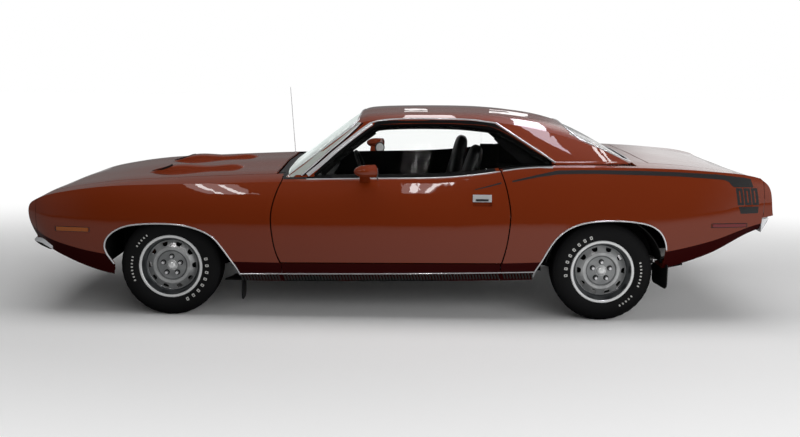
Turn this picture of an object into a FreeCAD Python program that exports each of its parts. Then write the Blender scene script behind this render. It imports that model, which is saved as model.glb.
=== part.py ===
import FreeCAD, Part
import math
import os

from FreeCAD import Vector

# Driving dimensions of the car, in millimetres
length = 4742.0
half_length = length / 2
body_width = 1902.0
half_width = body_width / 2
height = 1303.0
wheelbase = 2743.0
front_axle_x = -1451.0
rear_axle_x = front_axle_x + wheelbase
overrun = 50.0

# Thicknesses and gaps
skin = 12.0
panel_gap = 8.0
seam = 3.0
seat_gap = 0.3
plate = 6.0
glass_thickness = 6.0
smallest_volume = 2000.0
full_turn = 360.0

# Wheels, tyres and brakes
tyre_radius = 318.0
tyre_width = 216.0
half_track = 758.0
rim_radius = 190.0
rim_barrel = 7.0
rim_lip = 12.0
disc_recess = 48.0
disc_thickness = 10.0
hub_radius = 62.0
hub_depth = 44.0
spindle_radius = 30.0
running_fit = 0.05
spindle_depth = 34.0
cap_radius = 33.0
cap_height = 26.0
stud_circle = 114.3
nut_radius = 11.5
nut_height = 24.0
nut_count = 5
slot_count = 10
axle_height = tyre_radius
drum_radius = 140.0
drum_width = 44.0

# Steering
kingpin_y = 690.0
kingpin_radius = 22.0
kingpin_low = axle_height - 96.0
kingpin_high = axle_height + 104.0
well_radius = 392.0

# Doors and lids
door_inner_y = 765.0
door_axis_x = -720.0
door_step = 15.0
hood_half_width = 715.0
hood_rear_x = -792.0
lid_half_width = 650.0
lid_front_x = 1600.0
lid_rear_x = 2278.0
lid_low = 800.0
nose_split_x = -2300.0
tail_split_x = 2288.0

# Lines of the lower body: share of half the length, then share of the height or of the half width
bottom_z_shares = ((-1.05, .42), (-.992, .388), (-.945, .326), (-.865, .253), (-.765, .2), (-.565, .185),
                   (-.31, .182), (0, .19), (.27, .2), (.53, .222), (.72, .272), (.845, .352), (.925, .435),
                   (1.03, .5))
tuck_z_shares = ((-1.05, .45), (-.992, .43), (-.945, .384), (-.865, .338), (-.765, .307), (-.565, .288),
                 (-.31, .282), (0, .287), (.27, .293), (.53, .318), (.72, .362), (.845, .42), (.925, .475),
                 (1.03, .522))
widest_z_shares = ((-1.05, .495), (-.992, .492), (-.945, .48), (-.865, .468), (-.765, .46), (-.565, .46),
                   (-.31, .46), (0, .46), (.27, .465), (.53, .475), (.72, .495), (.845, .53), (.925, .57),
                   (1.03, .6))
crease_z_shares = ((-1.05, .505), (-.992, .545), (-.945, .5825), (-.865, .614), (-.765, .637), (-.565, .653),
                   (-.31, .669), (0, .684), (.11, .69), (.22, .713), (.33, .745), (.53, .756), (.72, .752),
                   (.845, .738), (.925, .722), (1.03, .67))
centre_z_shares = ((-1.05, .515), (-.992, .552), (-.945, .597), (-.865, .628), (-.765, .656), (-.565, .684),
                   (-.31, .71), (0, .725), (.11, .735), (.22, .75), (.33, .765), (.53, .772), (.72, .762),
                   (.845, .737), (.925, .712), (1.03, .655))
bottom_y_shares = ((-1.05, .8), (-.992, .815), (-.945, .841), (-.865, .862), (-.765, .883), (-.565, .904),
                   (-.31, .92), (0, .925), (.27, .925), (.53, .912), (.72, .89), (.845, .87), (.925, .858),
                   (1.03, .83))
tuck_y_shares = ((-1.05, .81), (-.992, .838), (-.945, .894), (-.865, .93), (-.765, .955), (-.565, .974),
                 (-.31, .98), (0, .982), (.27, .982), (.53, .976), (.72, .957), (.845, .93), (.925, .905),
                 (1.03, .86))
widest_y_shares = ((-1.05, .82), (-.992, .857), (-.945, .913), (-.865, .95), (-.765, .973), (-.565, .992),
                   (-.31, 1.0), (0, 1.0), (.27, 1.0), (.53, .998), (.72, .978), (.845, .948), (.925, .918),
                   (1.03, .868))
crease_y_shares = ((-1.05, .8), (-.992, .836), (-.945, .875), (-.865, .899), (-.765, .913), (-.565, .923),
                   (-.31, .92), (0, .913), (.11, .911), (.22, .91), (.33, .908), (.53, .902), (.72, .894),
                   (.845, .878), (.925, .858), (1.03, .83))
station_shares = (-1.03, -.985, -.945, -.9, -.84, -.765, -.66, -.565, -.43, -.31, -.15, 0, .11, .22, .33, .43,
                  .53, .63, .72, .79, .845, .885, .925, .975, 1.03)
side_bulge_share = .76
crown_shares = ((.9, .42), (.5, .8))

# Side view of the nose and tail, as shares of half the length and of the height
nose_shares = ((-.976, .386), (-.983, .41), (-.995, .497), (-.992, .536), (-.979, .556), (-.962, .7))
tail_shares = ((.952, .75), (.9555, .712), (.975, .68), (.986, .61), (.9925, .532))
tail_foot_shares = (.962, .52)

# Lines of the roof: share of half the length, then share of the height or of the half width
rail_z_shares = ((-.36, .605), (-.292, .7), (-.2, .823), (-.12, .93), (-.085, .953), (0, .958), (.16, .962),
                 (.262, .952), (.36, .925), (.45, .885), (.548, .824), (.633, .752), (.72, .68))
ridge_z_shares = ((-.36, .66), (-.292, .733), (-.2, .862), (-.12, .967), (-.085, .986), (0, .997), (.11, 1.0),
                  (.24, .998), (.34, .984), (.42, .958), (.5, .907), (.57, .842), (.65, .755), (.72, .67))
rail_y_shares = ((-.36, .87), (-.292, .835), (-.2, .757), (-.12, .685), (-.085, .672), (0, .67), (.16, .672),
                 (.262, .67), (.36, .662), (.45, .665), (.548, .695), (.633, .745), (.72, .79))
foot_y_shares = ((-.36, .875), (-.12, .876), (.16, .876), (.36, .888), (.548, .9), (.72, .89))
foot_z_share = .62
roof_station_shares = (-.34, -.3, -.26, -.22, -.18, -.14, -.105, -.07, 0, .1, .2, .29, .36, .42, .48, .54, .6,
                       .66, .71)
roof_crown_shares = ((.86, .48), (.5, .82))
side_lean_share = .42
roof_skin = 26.0

# Openings in the sides, as shares of half the length and of the height
door_front_shares = ((-.312, .284), (-.325, .342), (-.333, .42), (-.336, .51), (-.328, .588), (-.31, .672))
door_rear_shares = ((.27, .294), (.281, .37), (.288, .46), (.29, .538), (.285, .602), (.275, .678),
                    (.262, .74))
front_arch_shares = ((-.742, .19), (-.748, .226), (-.765, .276), (-.778, .325), (-.7795, .349), (-.7745, .382),
                     (-.758, .415), (-.728, .445), (-.687, .458), (-.636, .462), (-.586, .46), (-.548, .448),
                     (-.511, .424), (-.486, .392), (-.461, .329), (-.436, .259), (-.42, .19))
rear_arch_shares = ((.358, .19), (.364, .252), (.38, .305), (.402, .385), (.423, .434), (.457, .477),
                    (.499, .498), (.555, .505), (.598, .503), (.65, .491), (.679, .464), (.694, .43),
                    (.702, .393), (.705, .355), (.706, .19))
window_front_shares = ((-.25, .64), (-.232, .682), (-.145, .829), (-.066, .935))
window_top_shares = ((-.066, .935), (.03, .9425), (.16, .9435), (.238, .935))
window_rear_shares = ((.238, .935), (.277, .909), (.35, .833), (.406, .776))
window_low_shares = ((.406, .64), (-.25, .64))
windshield_shares = ((-.345, .858), (-.118, .668))
backlight_shares = ((.462, .615), (.622, .715))


def along(shares, x):
    # Height or half width at a place along the body, on a smooth line through the shares
    place = x / half_length
    last = len(shares) - 2
    index = 0
    while index < last and place > shares[index + 1][0]:
        index += 1
    slopes = []
    for near in (index, index + 1):
        before = shares[max(near - 1, 0)]
        after = shares[min(near + 1, len(shares) - 1)]
        slopes.append((after[1] - before[1]) / (after[0] - before[0]))
    low, high = shares[index], shares[index + 1]
    span = high[0] - low[0]
    t = (place - low[0]) / span
    rise = high[1] - low[1]
    bend = slopes[0] * span - rise
    sink = rise - slopes[1] * span
    return low[1] + rise * t + t * (1 - t) * (bend * (1 - t) + sink * t)


def smooth(points):
    # Smooth curve through the points
    curve = Part.BSplineCurve()
    curve.interpolate(points)
    return curve.toShape()


def outline_face(runs, lift):
    # Closed face from runs of places: a run of two is straight, a longer one is smooth
    edges = []
    for run in runs:
        points = [lift(a, b) for a, b in run]
        edges.append(Part.makeLine(*points) if len(points) == 2 else smooth(points))
    return Part.Face(Part.Wire(edges))


def side_prism(runs, y0, y1):
    # Outline drawn in side view, carried from y0 to y1
    return outline_face(runs, lambda a, b: Vector(a, y0, b)).extrude(Vector(0, y1 - y0, 0))


def plan_prism(runs, z0, z1):
    # Outline drawn in plan view, carried from z0 to z1
    return outline_face(runs, lambda a, b: Vector(a, b, z0)).extrude(Vector(0, 0, z1 - z0))


def ring_of(points):
    # Straight runs that join the points and come back to the first
    return [(points[i], points[(i + 1) % len(points)]) for i in range(len(points))]


def placed(shares, shift=0.0, lift=0.0):
    # Side view places from shares of half the length and of the height
    return [(a * half_length + shift, b * height + lift) for a, b in shares]


def box(x0, x1, y0, y1, z0, z1):
    return Part.makeBox(x1 - x0, y1 - y0, z1 - z0, Vector(x0, y0, z0))


def cylinder(start, end, radius):
    start, end = Vector(*start), Vector(*end)
    return Part.makeCylinder(radius, (end - start).Length, start, end - start)


def mirrored(shape):
    # The same piece on the car's other side
    return shape.mirror(Vector(0, 0, 0), Vector(0, 1, 0))


def pair(shape):
    return [shape, mirrored(shape)]


def united(shapes):
    whole = shapes[0]
    for shape in shapes[1:]:
        whole = whole.fuse(shape)
    return whole.removeSplitter()


def solids_of(shape):
    # Only the real solids of a cut, with no slivers
    return [solid for solid in shape.Solids if solid.Volume > smallest_volume]


def export(name, shapes):
    solids = []
    for shape in shapes:
        solids += solids_of(shape)
    Part.Compound(solids).exportStep("parts/" + name + ".step")
    print(name, len(solids), all(solid.isValid() for solid in solids))


def body_section(x, inset):
    # Closed cross section of the lower body, moved inwards by the inset
    bottom = Vector(x, along(bottom_y_shares, x) * half_width - inset,
                    along(bottom_z_shares, x) * height + inset)
    tuck = Vector(x, along(tuck_y_shares, x) * half_width - inset, along(tuck_z_shares, x) * height)
    widest = Vector(x, along(widest_y_shares, x) * half_width - inset, along(widest_z_shares, x) * height)
    crease = Vector(x, along(crease_y_shares, x) * half_width - inset,
                    along(crease_z_shares, x) * height - inset)
    centre = along(centre_z_shares, x) * height - inset
    side = [tuck]
    for low, high, share in ((tuck, widest, side_bulge_share), (crease, widest, side_bulge_share)):
        side.append(Vector(x, low.y + (widest.y - low.y) * share, (low.z + high.z) / 2))
    side.insert(2, widest)
    side.append(crease)
    top = [crease]
    for share, rise in crown_shares:
        top.append(Vector(x, crease.y * share, crease.z + (centre - crease.z) * rise))
    top.append(Vector(x, 0, centre))
    return section_wire([[bottom, tuck], side, top])


def section_wire(half):
    # Full wire from the runs of one half, which go from the bottom to the centre line
    flip = lambda point: Vector(point.x, -point.y, point.z)
    edges = []
    for run in half[:-1]:
        edges.append(Part.makeLine(*run) if len(run) == 2 else smooth(run))
    over = half[-1] + [flip(point) for point in half[-1][-2::-1]]
    edges.append(smooth(over))
    for run in reversed(half[:-1]):
        back = [flip(point) for point in reversed(run)]
        edges.append(Part.makeLine(*back) if len(back) == 2 else smooth(back))
    edges.append(Part.makeLine(flip(half[0][0]), half[0][0]))
    return Part.Wire(edges)


def side_outline(inset):
    # Side view of the whole body, which shapes the nose and tail
    nose = placed(nose_shares, inset)
    tail = placed(tail_shares, -inset)
    foot = placed([tail_foot_shares], -inset)[0]
    top = height + overrun
    runs = [nose, [nose[-1], (nose[-1][0], top)], [(nose[-1][0], top), (tail[0][0], top)],
            [(tail[0][0], top), tail[0]], tail, [tail[-1], foot], [foot, (foot[0], 0)],
            [(foot[0], 0), (nose[0][0], 0)], [(nose[0][0], 0), nose[0]]]
    return side_prism(runs, -half_width - overrun, half_width + overrun)


def body_form(inset):
    loft = Part.makeLoft([body_section(share * half_length, inset) for share in station_shares], True, False)
    return loft.common(side_outline(inset))


def roof_section(x, inset):
    # Closed cross section of the roof and glass, moved inwards by the inset
    foot = Vector(x, along(foot_y_shares, x) * half_width - inset, foot_z_share * height)
    rail = Vector(x, along(rail_y_shares, x) * half_width - inset, along(rail_z_shares, x) * height - inset)
    ridge = along(ridge_z_shares, x) * height - inset
    middle = Vector(x, foot.y + (rail.y - foot.y) * side_lean_share, (foot.z + rail.z) / 2)
    top = [rail]
    for share, rise in roof_crown_shares:
        top.append(Vector(x, rail.y * share, rail.z + (ridge - rail.z) * rise))
    top.append(Vector(x, 0, ridge))
    lowered = Vector(x, foot.y, foot.z - overrun)
    return section_wire([[lowered, foot], [foot, middle, rail], top])


def roof_form(inset):
    sections = [roof_section(share * half_length, inset) for share in roof_station_shares]
    return Part.makeLoft(sections, True, False)


def door_outline(ease):
    # Side view of the door, made larger all round by the ease
    front = placed(door_front_shares, -ease)
    rear = placed(door_rear_shares, ease)
    front[0] = (front[0][0], front[0][1] - ease)
    rear[0] = (rear[0][0], rear[0][1] - ease)
    top = height + overrun
    runs = [front, [front[-1], (front[-1][0], top)], [(front[-1][0], top), (rear[-1][0], top)],
            [(rear[-1][0], top), rear[-1]], list(reversed(rear)), [rear[0], front[0]]]
    return runs


def door_prism(ease, y0, y1):
    return side_prism(door_outline(ease), y0, y1)


def closed_outline(shares, shift=0.0):
    points = placed(shares, shift)
    return [points, [points[-1], points[0]]]


def window_outline(inset):
    # Side view of the side windows' opening, made smaller all round by the inset
    front = placed(window_front_shares, inset)
    top = placed(window_top_shares, 0.0, -inset)
    rear = placed(window_rear_shares, -inset)
    low = placed(window_low_shares)
    top[0] = front[-1] = (front[-1][0], top[0][1])
    top[-1] = rear[0] = (rear[0][0], top[-1][1])
    return [front, top, rear, [rear[-1], (rear[-1][0], low[0][1])],
            [(rear[-1][0], low[0][1]), front[0]]]


outer_body = body_form(0.0)
inner_body = body_form(skin)
body_shell = outer_body.cut(inner_body)
outer_roof = roof_form(0.0)
print("forms", outer_body.isValid(), inner_body.isValid(), body_shell.isValid(), outer_roof.isValid())
tall = height + overrun


def rounded_box(x0, x1, y0, y1, z0, z1, corner):
    # Box along X with rounded corners in front view
    y0, y1 = min(y0, y1), max(y0, y1)
    solid = box(x0, x1, y0, y1, z0, z1)
    edges = [edge for edge in solid.Edges
             if edge.BoundBox.YLength < seat_gap and edge.BoundBox.ZLength < seat_gap]
    return solid.makeFillet(corner, edges)


def surface_z(x, y):
    # Height of the lower body's top surface
    crease_y = along(crease_y_shares, x) * half_width
    crease_z = along(crease_z_shares, x) * height
    centre_z = along(centre_z_shares, x) * height
    return crease_z + (centre_z - crease_z) * (1 - (y / crease_y) ** 2)


def everywhere(x0, x1, y0=-body_width, y1=body_width, z0=-overrun, z1=tall):
    return box(x0, x1, y0, y1, z0, z1)


# Nose panel, grille and lamps
valance_rear_x = -2010.0
valance_top = 520.0
nose_reach = -half_length - overrun
grille_depth = 240.0
grille_inner_y = 34.0
grille_outer_y = 575.0
grille_low = 545.0
grille_high = 668.0
grille_corner = 30.0
lamp_y = 690.0
lamp_z = 606.0
lamp_radius = 76.0
lamp_clearance = 4.0
lamp_length = 60.0
lamp_face_x = -2330.0
lamp_dome = 14.0
lamp_dome_share = .74
bar_height = 5.0
bar_count = 8
grille_face_x = -2306.0
grille_bar_depth = 24.0
grille_frame = 9.0
grille_back_x = -2250.0


def make_nose():
    # Nose panel with its grille and lamp openings, carried on under the car as the valance
    ring = body_shell.common(everywhere(nose_reach, nose_split_x - seam))
    valance = body_shell.common(everywhere(nose_reach, valance_rear_x, -hood_half_width, hood_half_width,
                                           -overrun, valance_top))
    cuts = []
    for side in (-1, 1):
        cuts.append(rounded_box(nose_reach, nose_reach + grille_depth, side * grille_inner_y,
                                side * grille_outer_y, grille_low, grille_high, grille_corner))
        cuts.append(cylinder((nose_reach, side * lamp_y, lamp_z),
                             (nose_reach + grille_depth, side * lamp_y, lamp_z), lamp_radius + lamp_clearance))
    return ring.fuse(valance).cut(Part.Compound(cuts))


def make_grille():
    # Two framed banks of bars behind the openings, with a back plate that carries them and the lamps
    solids = []
    low, high = grille_low + seat_gap, grille_high - seat_gap
    inner, outer = grille_inner_y + seat_gap, grille_outer_y - seat_gap
    back = box(grille_back_x, grille_back_x + plate, -lamp_y - lamp_radius, lamp_y + lamp_radius,
               grille_low - grille_frame, grille_high + grille_frame)
    solids.append(back)
    rise = (high - low - bar_height) / (bar_count + 1)
    for side in (-1, 1):
        frame = rounded_box(grille_face_x, grille_back_x, side * inner, side * outer, low, high,
                            grille_corner)
        hole = rounded_box(grille_face_x, grille_back_x, side * (inner + grille_frame),
                           side * (outer - grille_frame), low + grille_frame, high - grille_frame,
                           grille_corner - grille_frame)
        solids.append(frame.cut(hole))
        y0, y1 = sorted((side * (inner + grille_frame / 2), side * (outer - grille_frame / 2)))
        for index in range(1, bar_count + 1):
            z = low + rise * index
            solids.append(box(grille_face_x + seam, grille_face_x + seam + grille_bar_depth, y0, y1,
                              z, z + bar_height))
    return united(solids)


def make_headlamp(side):
    # Round lamp with a domed lens, on the grille's back plate
    profile = [[(lamp_face_x - lamp_dome, 0), (lamp_face_x - lamp_dome * lamp_dome_share, lamp_radius / 2),
                (lamp_face_x, lamp_radius)],
               [(lamp_face_x, lamp_radius), (lamp_face_x + lamp_length, lamp_radius)],
               [(lamp_face_x + lamp_length, lamp_radius), (grille_back_x, lamp_radius / 2)],
               [(grille_back_x, lamp_radius / 2), (grille_back_x, 0)],
               [(grille_back_x, 0), (lamp_face_x - lamp_dome, 0)]]
    face = outline_face(profile, lambda a, b: Vector(a, 0, b))
    lamp = face.revolve(Vector(0, 0, 0), Vector(1, 0, 0), full_turn)
    lamp.translate(Vector(0, side * lamp_y, lamp_z))
    return lamp


# Front fenders
fender_rear_x = -740.0
well_outer_y = 905.0
well_top = 640.0


def make_fender():
    # Left front fender with the wheel's arch, cleared inside for the steered wheel
    region = everywhere(nose_split_x, fender_rear_x, -body_width, -hood_half_width - panel_gap)
    fender = body_shell.common(region)
    well = cylinder((front_axle_x, -kingpin_y, -overrun), (front_axle_x, -kingpin_y, well_top), well_radius)
    well = well.common(everywhere(-half_length, 0, -well_outer_y, 0))
    cuts = [door_prism(panel_gap, -body_width, 0), well,
            side_prism(closed_outline(front_arch_shares), -body_width, -hood_half_width)]
    return cut_all(fender, cuts)


def cut_all(shape, cuts):
    for tool in cuts:
        shape = shape.cut(tool)
    return shape


# Rear quarters
quarter_front_x = 640.0
quarter_inner_y = 805.0
deck_front_x = 1490.0
pillar_x = 706.0
pillar_inner_y = 770.0
pillar_low = 300.0


def make_quarter():
    # Left rear quarter with the wheel's arch and the door's lock pillar
    region = everywhere(quarter_front_x - door_step * 2, tail_split_x - seam, -body_width,
                        -lid_half_width - panel_gap)
    quarter = body_shell.common(region)
    pillar = inner_body.common(box(pillar_x, pillar_x + plate, -body_width, -pillar_inner_y,
                                   pillar_low, tall))
    cuts = [door_prism(panel_gap, -body_width, 0),
            everywhere(0, quarter_front_x + seam, z1=door_sill_z()),
            everywhere(0, deck_front_x, -quarter_inner_y, 0, widest_z_shares[0][1] * height),
            side_prism(closed_outline(rear_arch_shares), -body_width, -lid_half_width)]
    return cut_all(quarter.fuse(pillar), cuts)


def door_sill_z():
    # Height of the door's lower rear corner
    return door_rear_shares[0][1] * height + panel_gap


# Rockers under the doors
def make_rocker():
    # Left sill beam under the door
    block = outer_body.common(everywhere(fender_rear_x + seam, quarter_front_x - seam, -body_width,
                                         -floor_half_width - seat_gap, -overrun, door_sill_z()))
    return block.cut(door_prism(panel_gap, -body_width, 0))


# Doors with their glass, mirrors and handles
notch_rear_x = -540.0
notch_low = 825.0
notch_outer_y = 838.0
division_x = 621.0
handle_x = (455.0, 572.0)
handle_z = (768.0, 812.0)
handle_pull_z = (742.0, 768.0)
armrest_x = (-260.0, 420.0)
armrest_z = (560.0, 622.0)
armrest_reach = 46.0
armrest_corner = 12.0


def make_door():
    # Left door: outer skin with its full outline, and the core that steps in from it
    face = body_shell.common(door_prism(0.0, -body_width, -door_inner_y))
    core = inner_body.common(door_prism(-door_step, -body_width, -door_inner_y))
    rest = box(armrest_x[0], armrest_x[1], -door_inner_y, -door_inner_y + armrest_reach, armrest_z[0],
               armrest_z[1])
    rest = rest.makeFillet(armrest_corner, rest.Edges)
    notch = everywhere(-half_length, notch_rear_x, -notch_outer_y, 0, notch_low)
    pull = body_shell.common(box(handle_x[0], handle_x[1], -body_width, -door_inner_y,
                                 handle_pull_z[0], handle_pull_z[1]))
    hinge_cuts = []
    for z in door_hinge_z:
        low, high = z - hinge_pocket_height / 2, z + hinge_pocket_height / 2
        hinge_cuts.append(box(-half_length, door_axis_x + hinge_knuckle_radius + seam,
                              -hinge_pocket_outer_y, 0, low, high))
        hinge_cuts.append(cylinder((door_axis_x, -door_axis_y, low), (door_axis_x, -door_axis_y, high),
                                   hinge_knuckle_radius + knuckle_clearance))
        hinge_cuts.append(cylinder((door_axis_x, -door_axis_y, z - hinge_pin_reach / 2 - seat_gap),
                                   (door_axis_x, -door_axis_y, z + hinge_pin_reach / 2 + seat_gap),
                                   hinge_pin_radius + running_fit))
    return cut_all(united([face, core, rest]), [notch, pull] + hinge_cuts)


def make_door_glass():
    # Left door glass, which stands in the door's top
    pane = glass_shell.common(side_prism(window_outline(glass_edge_gap), -body_width, 0))
    pane = pane.common(everywhere(-half_length, division_x - panel_gap / 2))
    return pane.cut(skin_bed)


glass_edge_gap = 6.0


def make_handle():
    # Left flush handle: a thin plate on the door's skin
    return trim_shell.common(box(handle_x[0], handle_x[1], -body_width, 0, handle_z[0], handle_z[1]))


mirror_x = (-284.0, -150.0)
mirror_y = 985.0
mirror_z = 957.0
mirror_radius = 40.0
mirror_wide_share = 1.32
mirror_nose_shares = ((0, 0), (.07, .42), (.25, .76), (.55, .95), (1, 1))
mirror_rim = 8.0
mirror_dish = 7.0
mirror_toe = 20.0
stalk_half = (36.0, 15.0)
stalk_foot_y = 866.0
stalk_foot_sink = 12.0


def make_mirror():
    # Left bullet mirror: a turned shell with a dished back, on a leaning stalk
    reach = mirror_x[1] - mirror_x[0]
    nose = [(mirror_x[0] + a * reach, b * mirror_radius) for a, b in mirror_nose_shares]
    back = (mirror_x[1], mirror_radius - mirror_rim)
    dish = (mirror_x[1] - mirror_dish, mirror_radius - mirror_rim)
    runs = [nose, [nose[-1], back], [back, dish], [dish, (dish[0], 0)], [(dish[0], 0), nose[0]]]
    head = outline_face(runs, lambda a, b: Vector(a, 0, b))
    head = head.revolve(Vector(0, 0, 0), Vector(1, 0, 0), full_turn)
    widen = FreeCAD.Matrix()
    widen.A22 = mirror_wide_share
    head = head.transformGeometry(widen)
    middle_x = (mirror_x[0] + mirror_x[1]) / 2
    head.rotate(Vector(middle_x, 0, 0), Vector(0, 0, 1), mirror_toe)
    head.translate(Vector(0, -mirror_y, mirror_z))
    foot_z = surface_z(middle_x, stalk_foot_y) - stalk_foot_sink
    wires = []
    for y, z, grow in ((-stalk_foot_y, foot_z, 1.0), (-mirror_y, mirror_z, stalk_taper_share)):
        ellipse = Part.Ellipse(Vector(0, 0, 0), stalk_half[0] * grow, stalk_half[1] * grow).toShape()
        wire = Part.Wire([ellipse])
        wire.translate(Vector(middle_x, y, z))
        wires.append(wire)
    stalk = Part.makeLoft(wires, True)
    return head.fuse(stalk).cut(skin_bed).removeSplitter()


stalk_taper_share = .75

# Hood with twin scoops, trunk lid, cowl and rear deck
scoop_y = 330.0
scoop_half = 122.0
scoop_rise = 34.0
scoop_shares = ((-.727, .7, -.12), (-.7, .9, .3), (-.662, 1.0, .95), (-.6, .97, 1.0), (-.52, .82, .62),
                (-.447, .54, .06))
scoop_sink = 22.0
mouth_x = -1614.0
mouth_half = (66.0, 82.0)
mouth_depth = 46.0


def make_hood():
    # Hood skin with two raised scoops and their open mouths
    panel = body_shell.common(everywhere(nose_split_x - seam + panel_gap, hood_rear_x, -hood_half_width,
                                         hood_half_width, crease_z_shares[0][1] * height))
    hood = united([panel] + pair(make_scoop()) + [make_hood_arm(-1), make_hood_arm(1)])
    return cut_all(hood, pair(make_mouth()))


def make_mouth():
    # Space of the left scoop's mouth, an oval that opens upwards and forwards
    top = surface_z(mouth_x, scoop_y) + scoop_rise
    wires = []
    for grow, z in ((1.0, top + scoop_rise), (1.0, top - mouth_depth)):
        ellipse = Part.Ellipse(Vector(0, 0, 0), mouth_half[1] * grow, mouth_half[0] * grow).toShape()
        wire = Part.Wire([ellipse])
        wire.rotate(Vector(0, 0, 0), Vector(0, 0, 1), full_turn / 4)
        wire.translate(Vector(mouth_x, -scoop_y, z))
        wires.append(wire)
    return Part.makeLoft(wires, True)


def make_scoop():
    # Left scoop's raised form, blended into the hood at its nose and tail
    wires = []
    for place, width, lift in scoop_shares:
        x = place * half_length
        half = width * scoop_half
        base = surface_z(x, scoop_y) - scoop_sink
        top = surface_z(x, scoop_y) + lift * scoop_rise
        arch = [Vector(x, -scoop_y - half, base)]
        for share, part in scoop_arch_shares:
            arch.append(Vector(x, -scoop_y + half * share, base + (top - base) * part))
        arch.append(Vector(x, -scoop_y + half, base))
        wires.append(Part.Wire([smooth(arch), Part.makeLine(arch[-1], arch[0])]))
    return Part.makeLoft(wires, True, False).cut(inner_body)


scoop_arch_shares = ((-.86, .62), (-.5, .93), (0, 1.0), (.5, .93), (.86, .62))


def make_trunk_lid():
    # Lid skin, turned down at the tail, with its two arms
    panel = body_shell.common(everywhere(lid_front_x, lid_rear_x, -lid_half_width, lid_half_width, lid_low))
    return united([panel, make_lid_arm(-1), make_lid_arm(1)])


cowl_rear_x = -600.0
ledge_rear_x = -548.0
ledge_low = 838.0
firewall_x = -741.0
firewall_half_width = 745.0
hinge_plate_low = 290.0
hinge_plate_x = -868.0
hinge_plate_inner_y = 640.0
hinge_plate_top = 850.0


def make_cowl():
    # Cowl top, firewall, ledges under the pillars, and the plates that the doors hang from
    top_half = hood_half_width + panel_gap - seam
    top = cowl_shell.common(everywhere(hood_rear_x + panel_gap, cowl_rear_x, -top_half, top_half, notch_low))
    wall = inner_body.common(box(firewall_x, firewall_x + skin, -firewall_half_width, firewall_half_width,
                                 floor_z(firewall_x) + floor_thickness + seat_gap, tall))
    wall = wall.common(under_cowl)
    solids = [top, wall]
    for side in (-1, 1):
        y0, y1 = sorted((side * (notch_outer_y - plate), side * (firewall_half_width - plate)))
        solids.append(outer_body.common(box(fender_rear_x + seam, ledge_rear_x, y0, y1, ledge_low, tall)))
        y0, y1 = sorted((side * body_width, side * hinge_plate_inner_y))
        solids.append(clear_body.common(box(hinge_plate_x, hinge_plate_x + plate, y0, y1,
                                            hinge_plate_low, hinge_plate_top)))
        y0, y1 = sorted((side * firewall_half_width, side * (firewall_half_width - plate)))
        solids.append(box(hinge_plate_x, fender_rear_x + seam - seat_gap, y0, y1, hinge_plate_low,
                          hinge_plate_top))
        solids += [make_door_hinge(side, z) for z in door_hinge_z] + [make_hood_pin(side)]
    slots = []
    for side in (-1, 1):
        slots.append(box(hood_rear_x, hood_axis[0] + hinge_arm_radius, side * hood_hinge_y - hinge_slot_half,
                         side * hood_hinge_y + hinge_slot_half, hood_axis[1] - overrun, tall))
    return cut_all(united(solids[:2]), slots).fuse(solids[2:]).removeSplitter()


# Door, hood and lid hinges
door_axis_y = 930.0
door_hinge_z = (480.0, 650.0)
hinge_pin_radius = 5.0
hinge_bar_half = 5.5
hinge_knuckle_radius = 8.0
knuckle_clearance = 1.2
hinge_bar_height = 24.0
hinge_pocket_height = 60.0
hinge_pocket_outer_y = 935.0
hinge_pin_reach = 90.0
hinge_bar_root_x = -745.0
hood_axis = (-752.0, 860.0)
hood_hinge_y = 600.0
hinge_arm_half = 4.0
hinge_arm_radius = 11.0
hinge_slot_half = 9.5
lid_axis = (1540.0, 965.0)
lid_hinge_y = 560.0
lid_arm_shares = ((-.09, .05), (-.09, -.08), (.14, -.57), (.32, -.72), (.86, -.56), (1.12, .145), (.96, .145),
                  (.74, -.42), (.4, -.55), (.28, -.49), (.09, -.05), (.09, .05))
lid_arm_reach = 115.0


def make_door_hinge(side, z):
    # Bar from the pillar out to the door's axis, with its upright pin
    low = z - hinge_bar_height / 2
    root = (hinge_bar_root_x, side * (firewall_half_width - plate))
    tip = (door_axis_x, side * door_axis_y)
    corners = [(root[0] - hinge_bar_half, root[1]), (tip[0] - hinge_bar_half, tip[1]),
               (tip[0] + hinge_bar_half, tip[1]), (root[0] + hinge_bar_half, root[1])]
    bar = plan_prism(ring_of(corners), low, low + hinge_bar_height)
    knuckle = cylinder((tip[0], tip[1], low), (tip[0], tip[1], low + hinge_bar_height), hinge_knuckle_radius)
    pin = cylinder((tip[0], tip[1], z - hinge_pin_reach / 2), (tip[0], tip[1], z + hinge_pin_reach / 2),
                   hinge_pin_radius)
    return united([bar, knuckle, pin])


def make_hood_pin(side):
    # Ear on the firewall with the pin that the hood's arm turns on
    near = side * (hood_hinge_y + hinge_arm_half + seat_gap)
    far = near + side * plate
    y0, y1 = sorted((near, far))
    ear = box(hood_axis[0] - hinge_arm_radius, firewall_x + seam, y0, y1, hood_axis[1] - hinge_arm_radius,
              hood_axis[1] + hinge_arm_radius / 2)
    pin = cylinder((hood_axis[0], far, hood_axis[1]),
                   (hood_axis[0], side * (hood_hinge_y - hinge_arm_half), hood_axis[1]), hinge_pin_radius)
    return ear.fuse(pin)


def make_hood_arm(side):
    # Arm under the hood's rear edge, bored for its pin
    rise = hinge_arm_radius
    front = hood_rear_x - overrun
    points = [(hood_axis[0], hood_axis[1] - rise), (hood_axis[0], hood_axis[1] + rise / 2),
              (hood_rear_x, hood_axis[1] + rise), (hood_rear_x, tall), (front, tall),
              (front, hood_axis[1] + rise)]
    y0, y1 = side * hood_hinge_y - hinge_arm_half, side * hood_hinge_y + hinge_arm_half
    arm = side_prism(ring_of(points), y0, y1).common(inner_body)
    return arm.cut(cylinder((hood_axis[0], y0, hood_axis[1]), (hood_axis[0], y1, hood_axis[1]),
                            hinge_pin_radius + running_fit))


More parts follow.
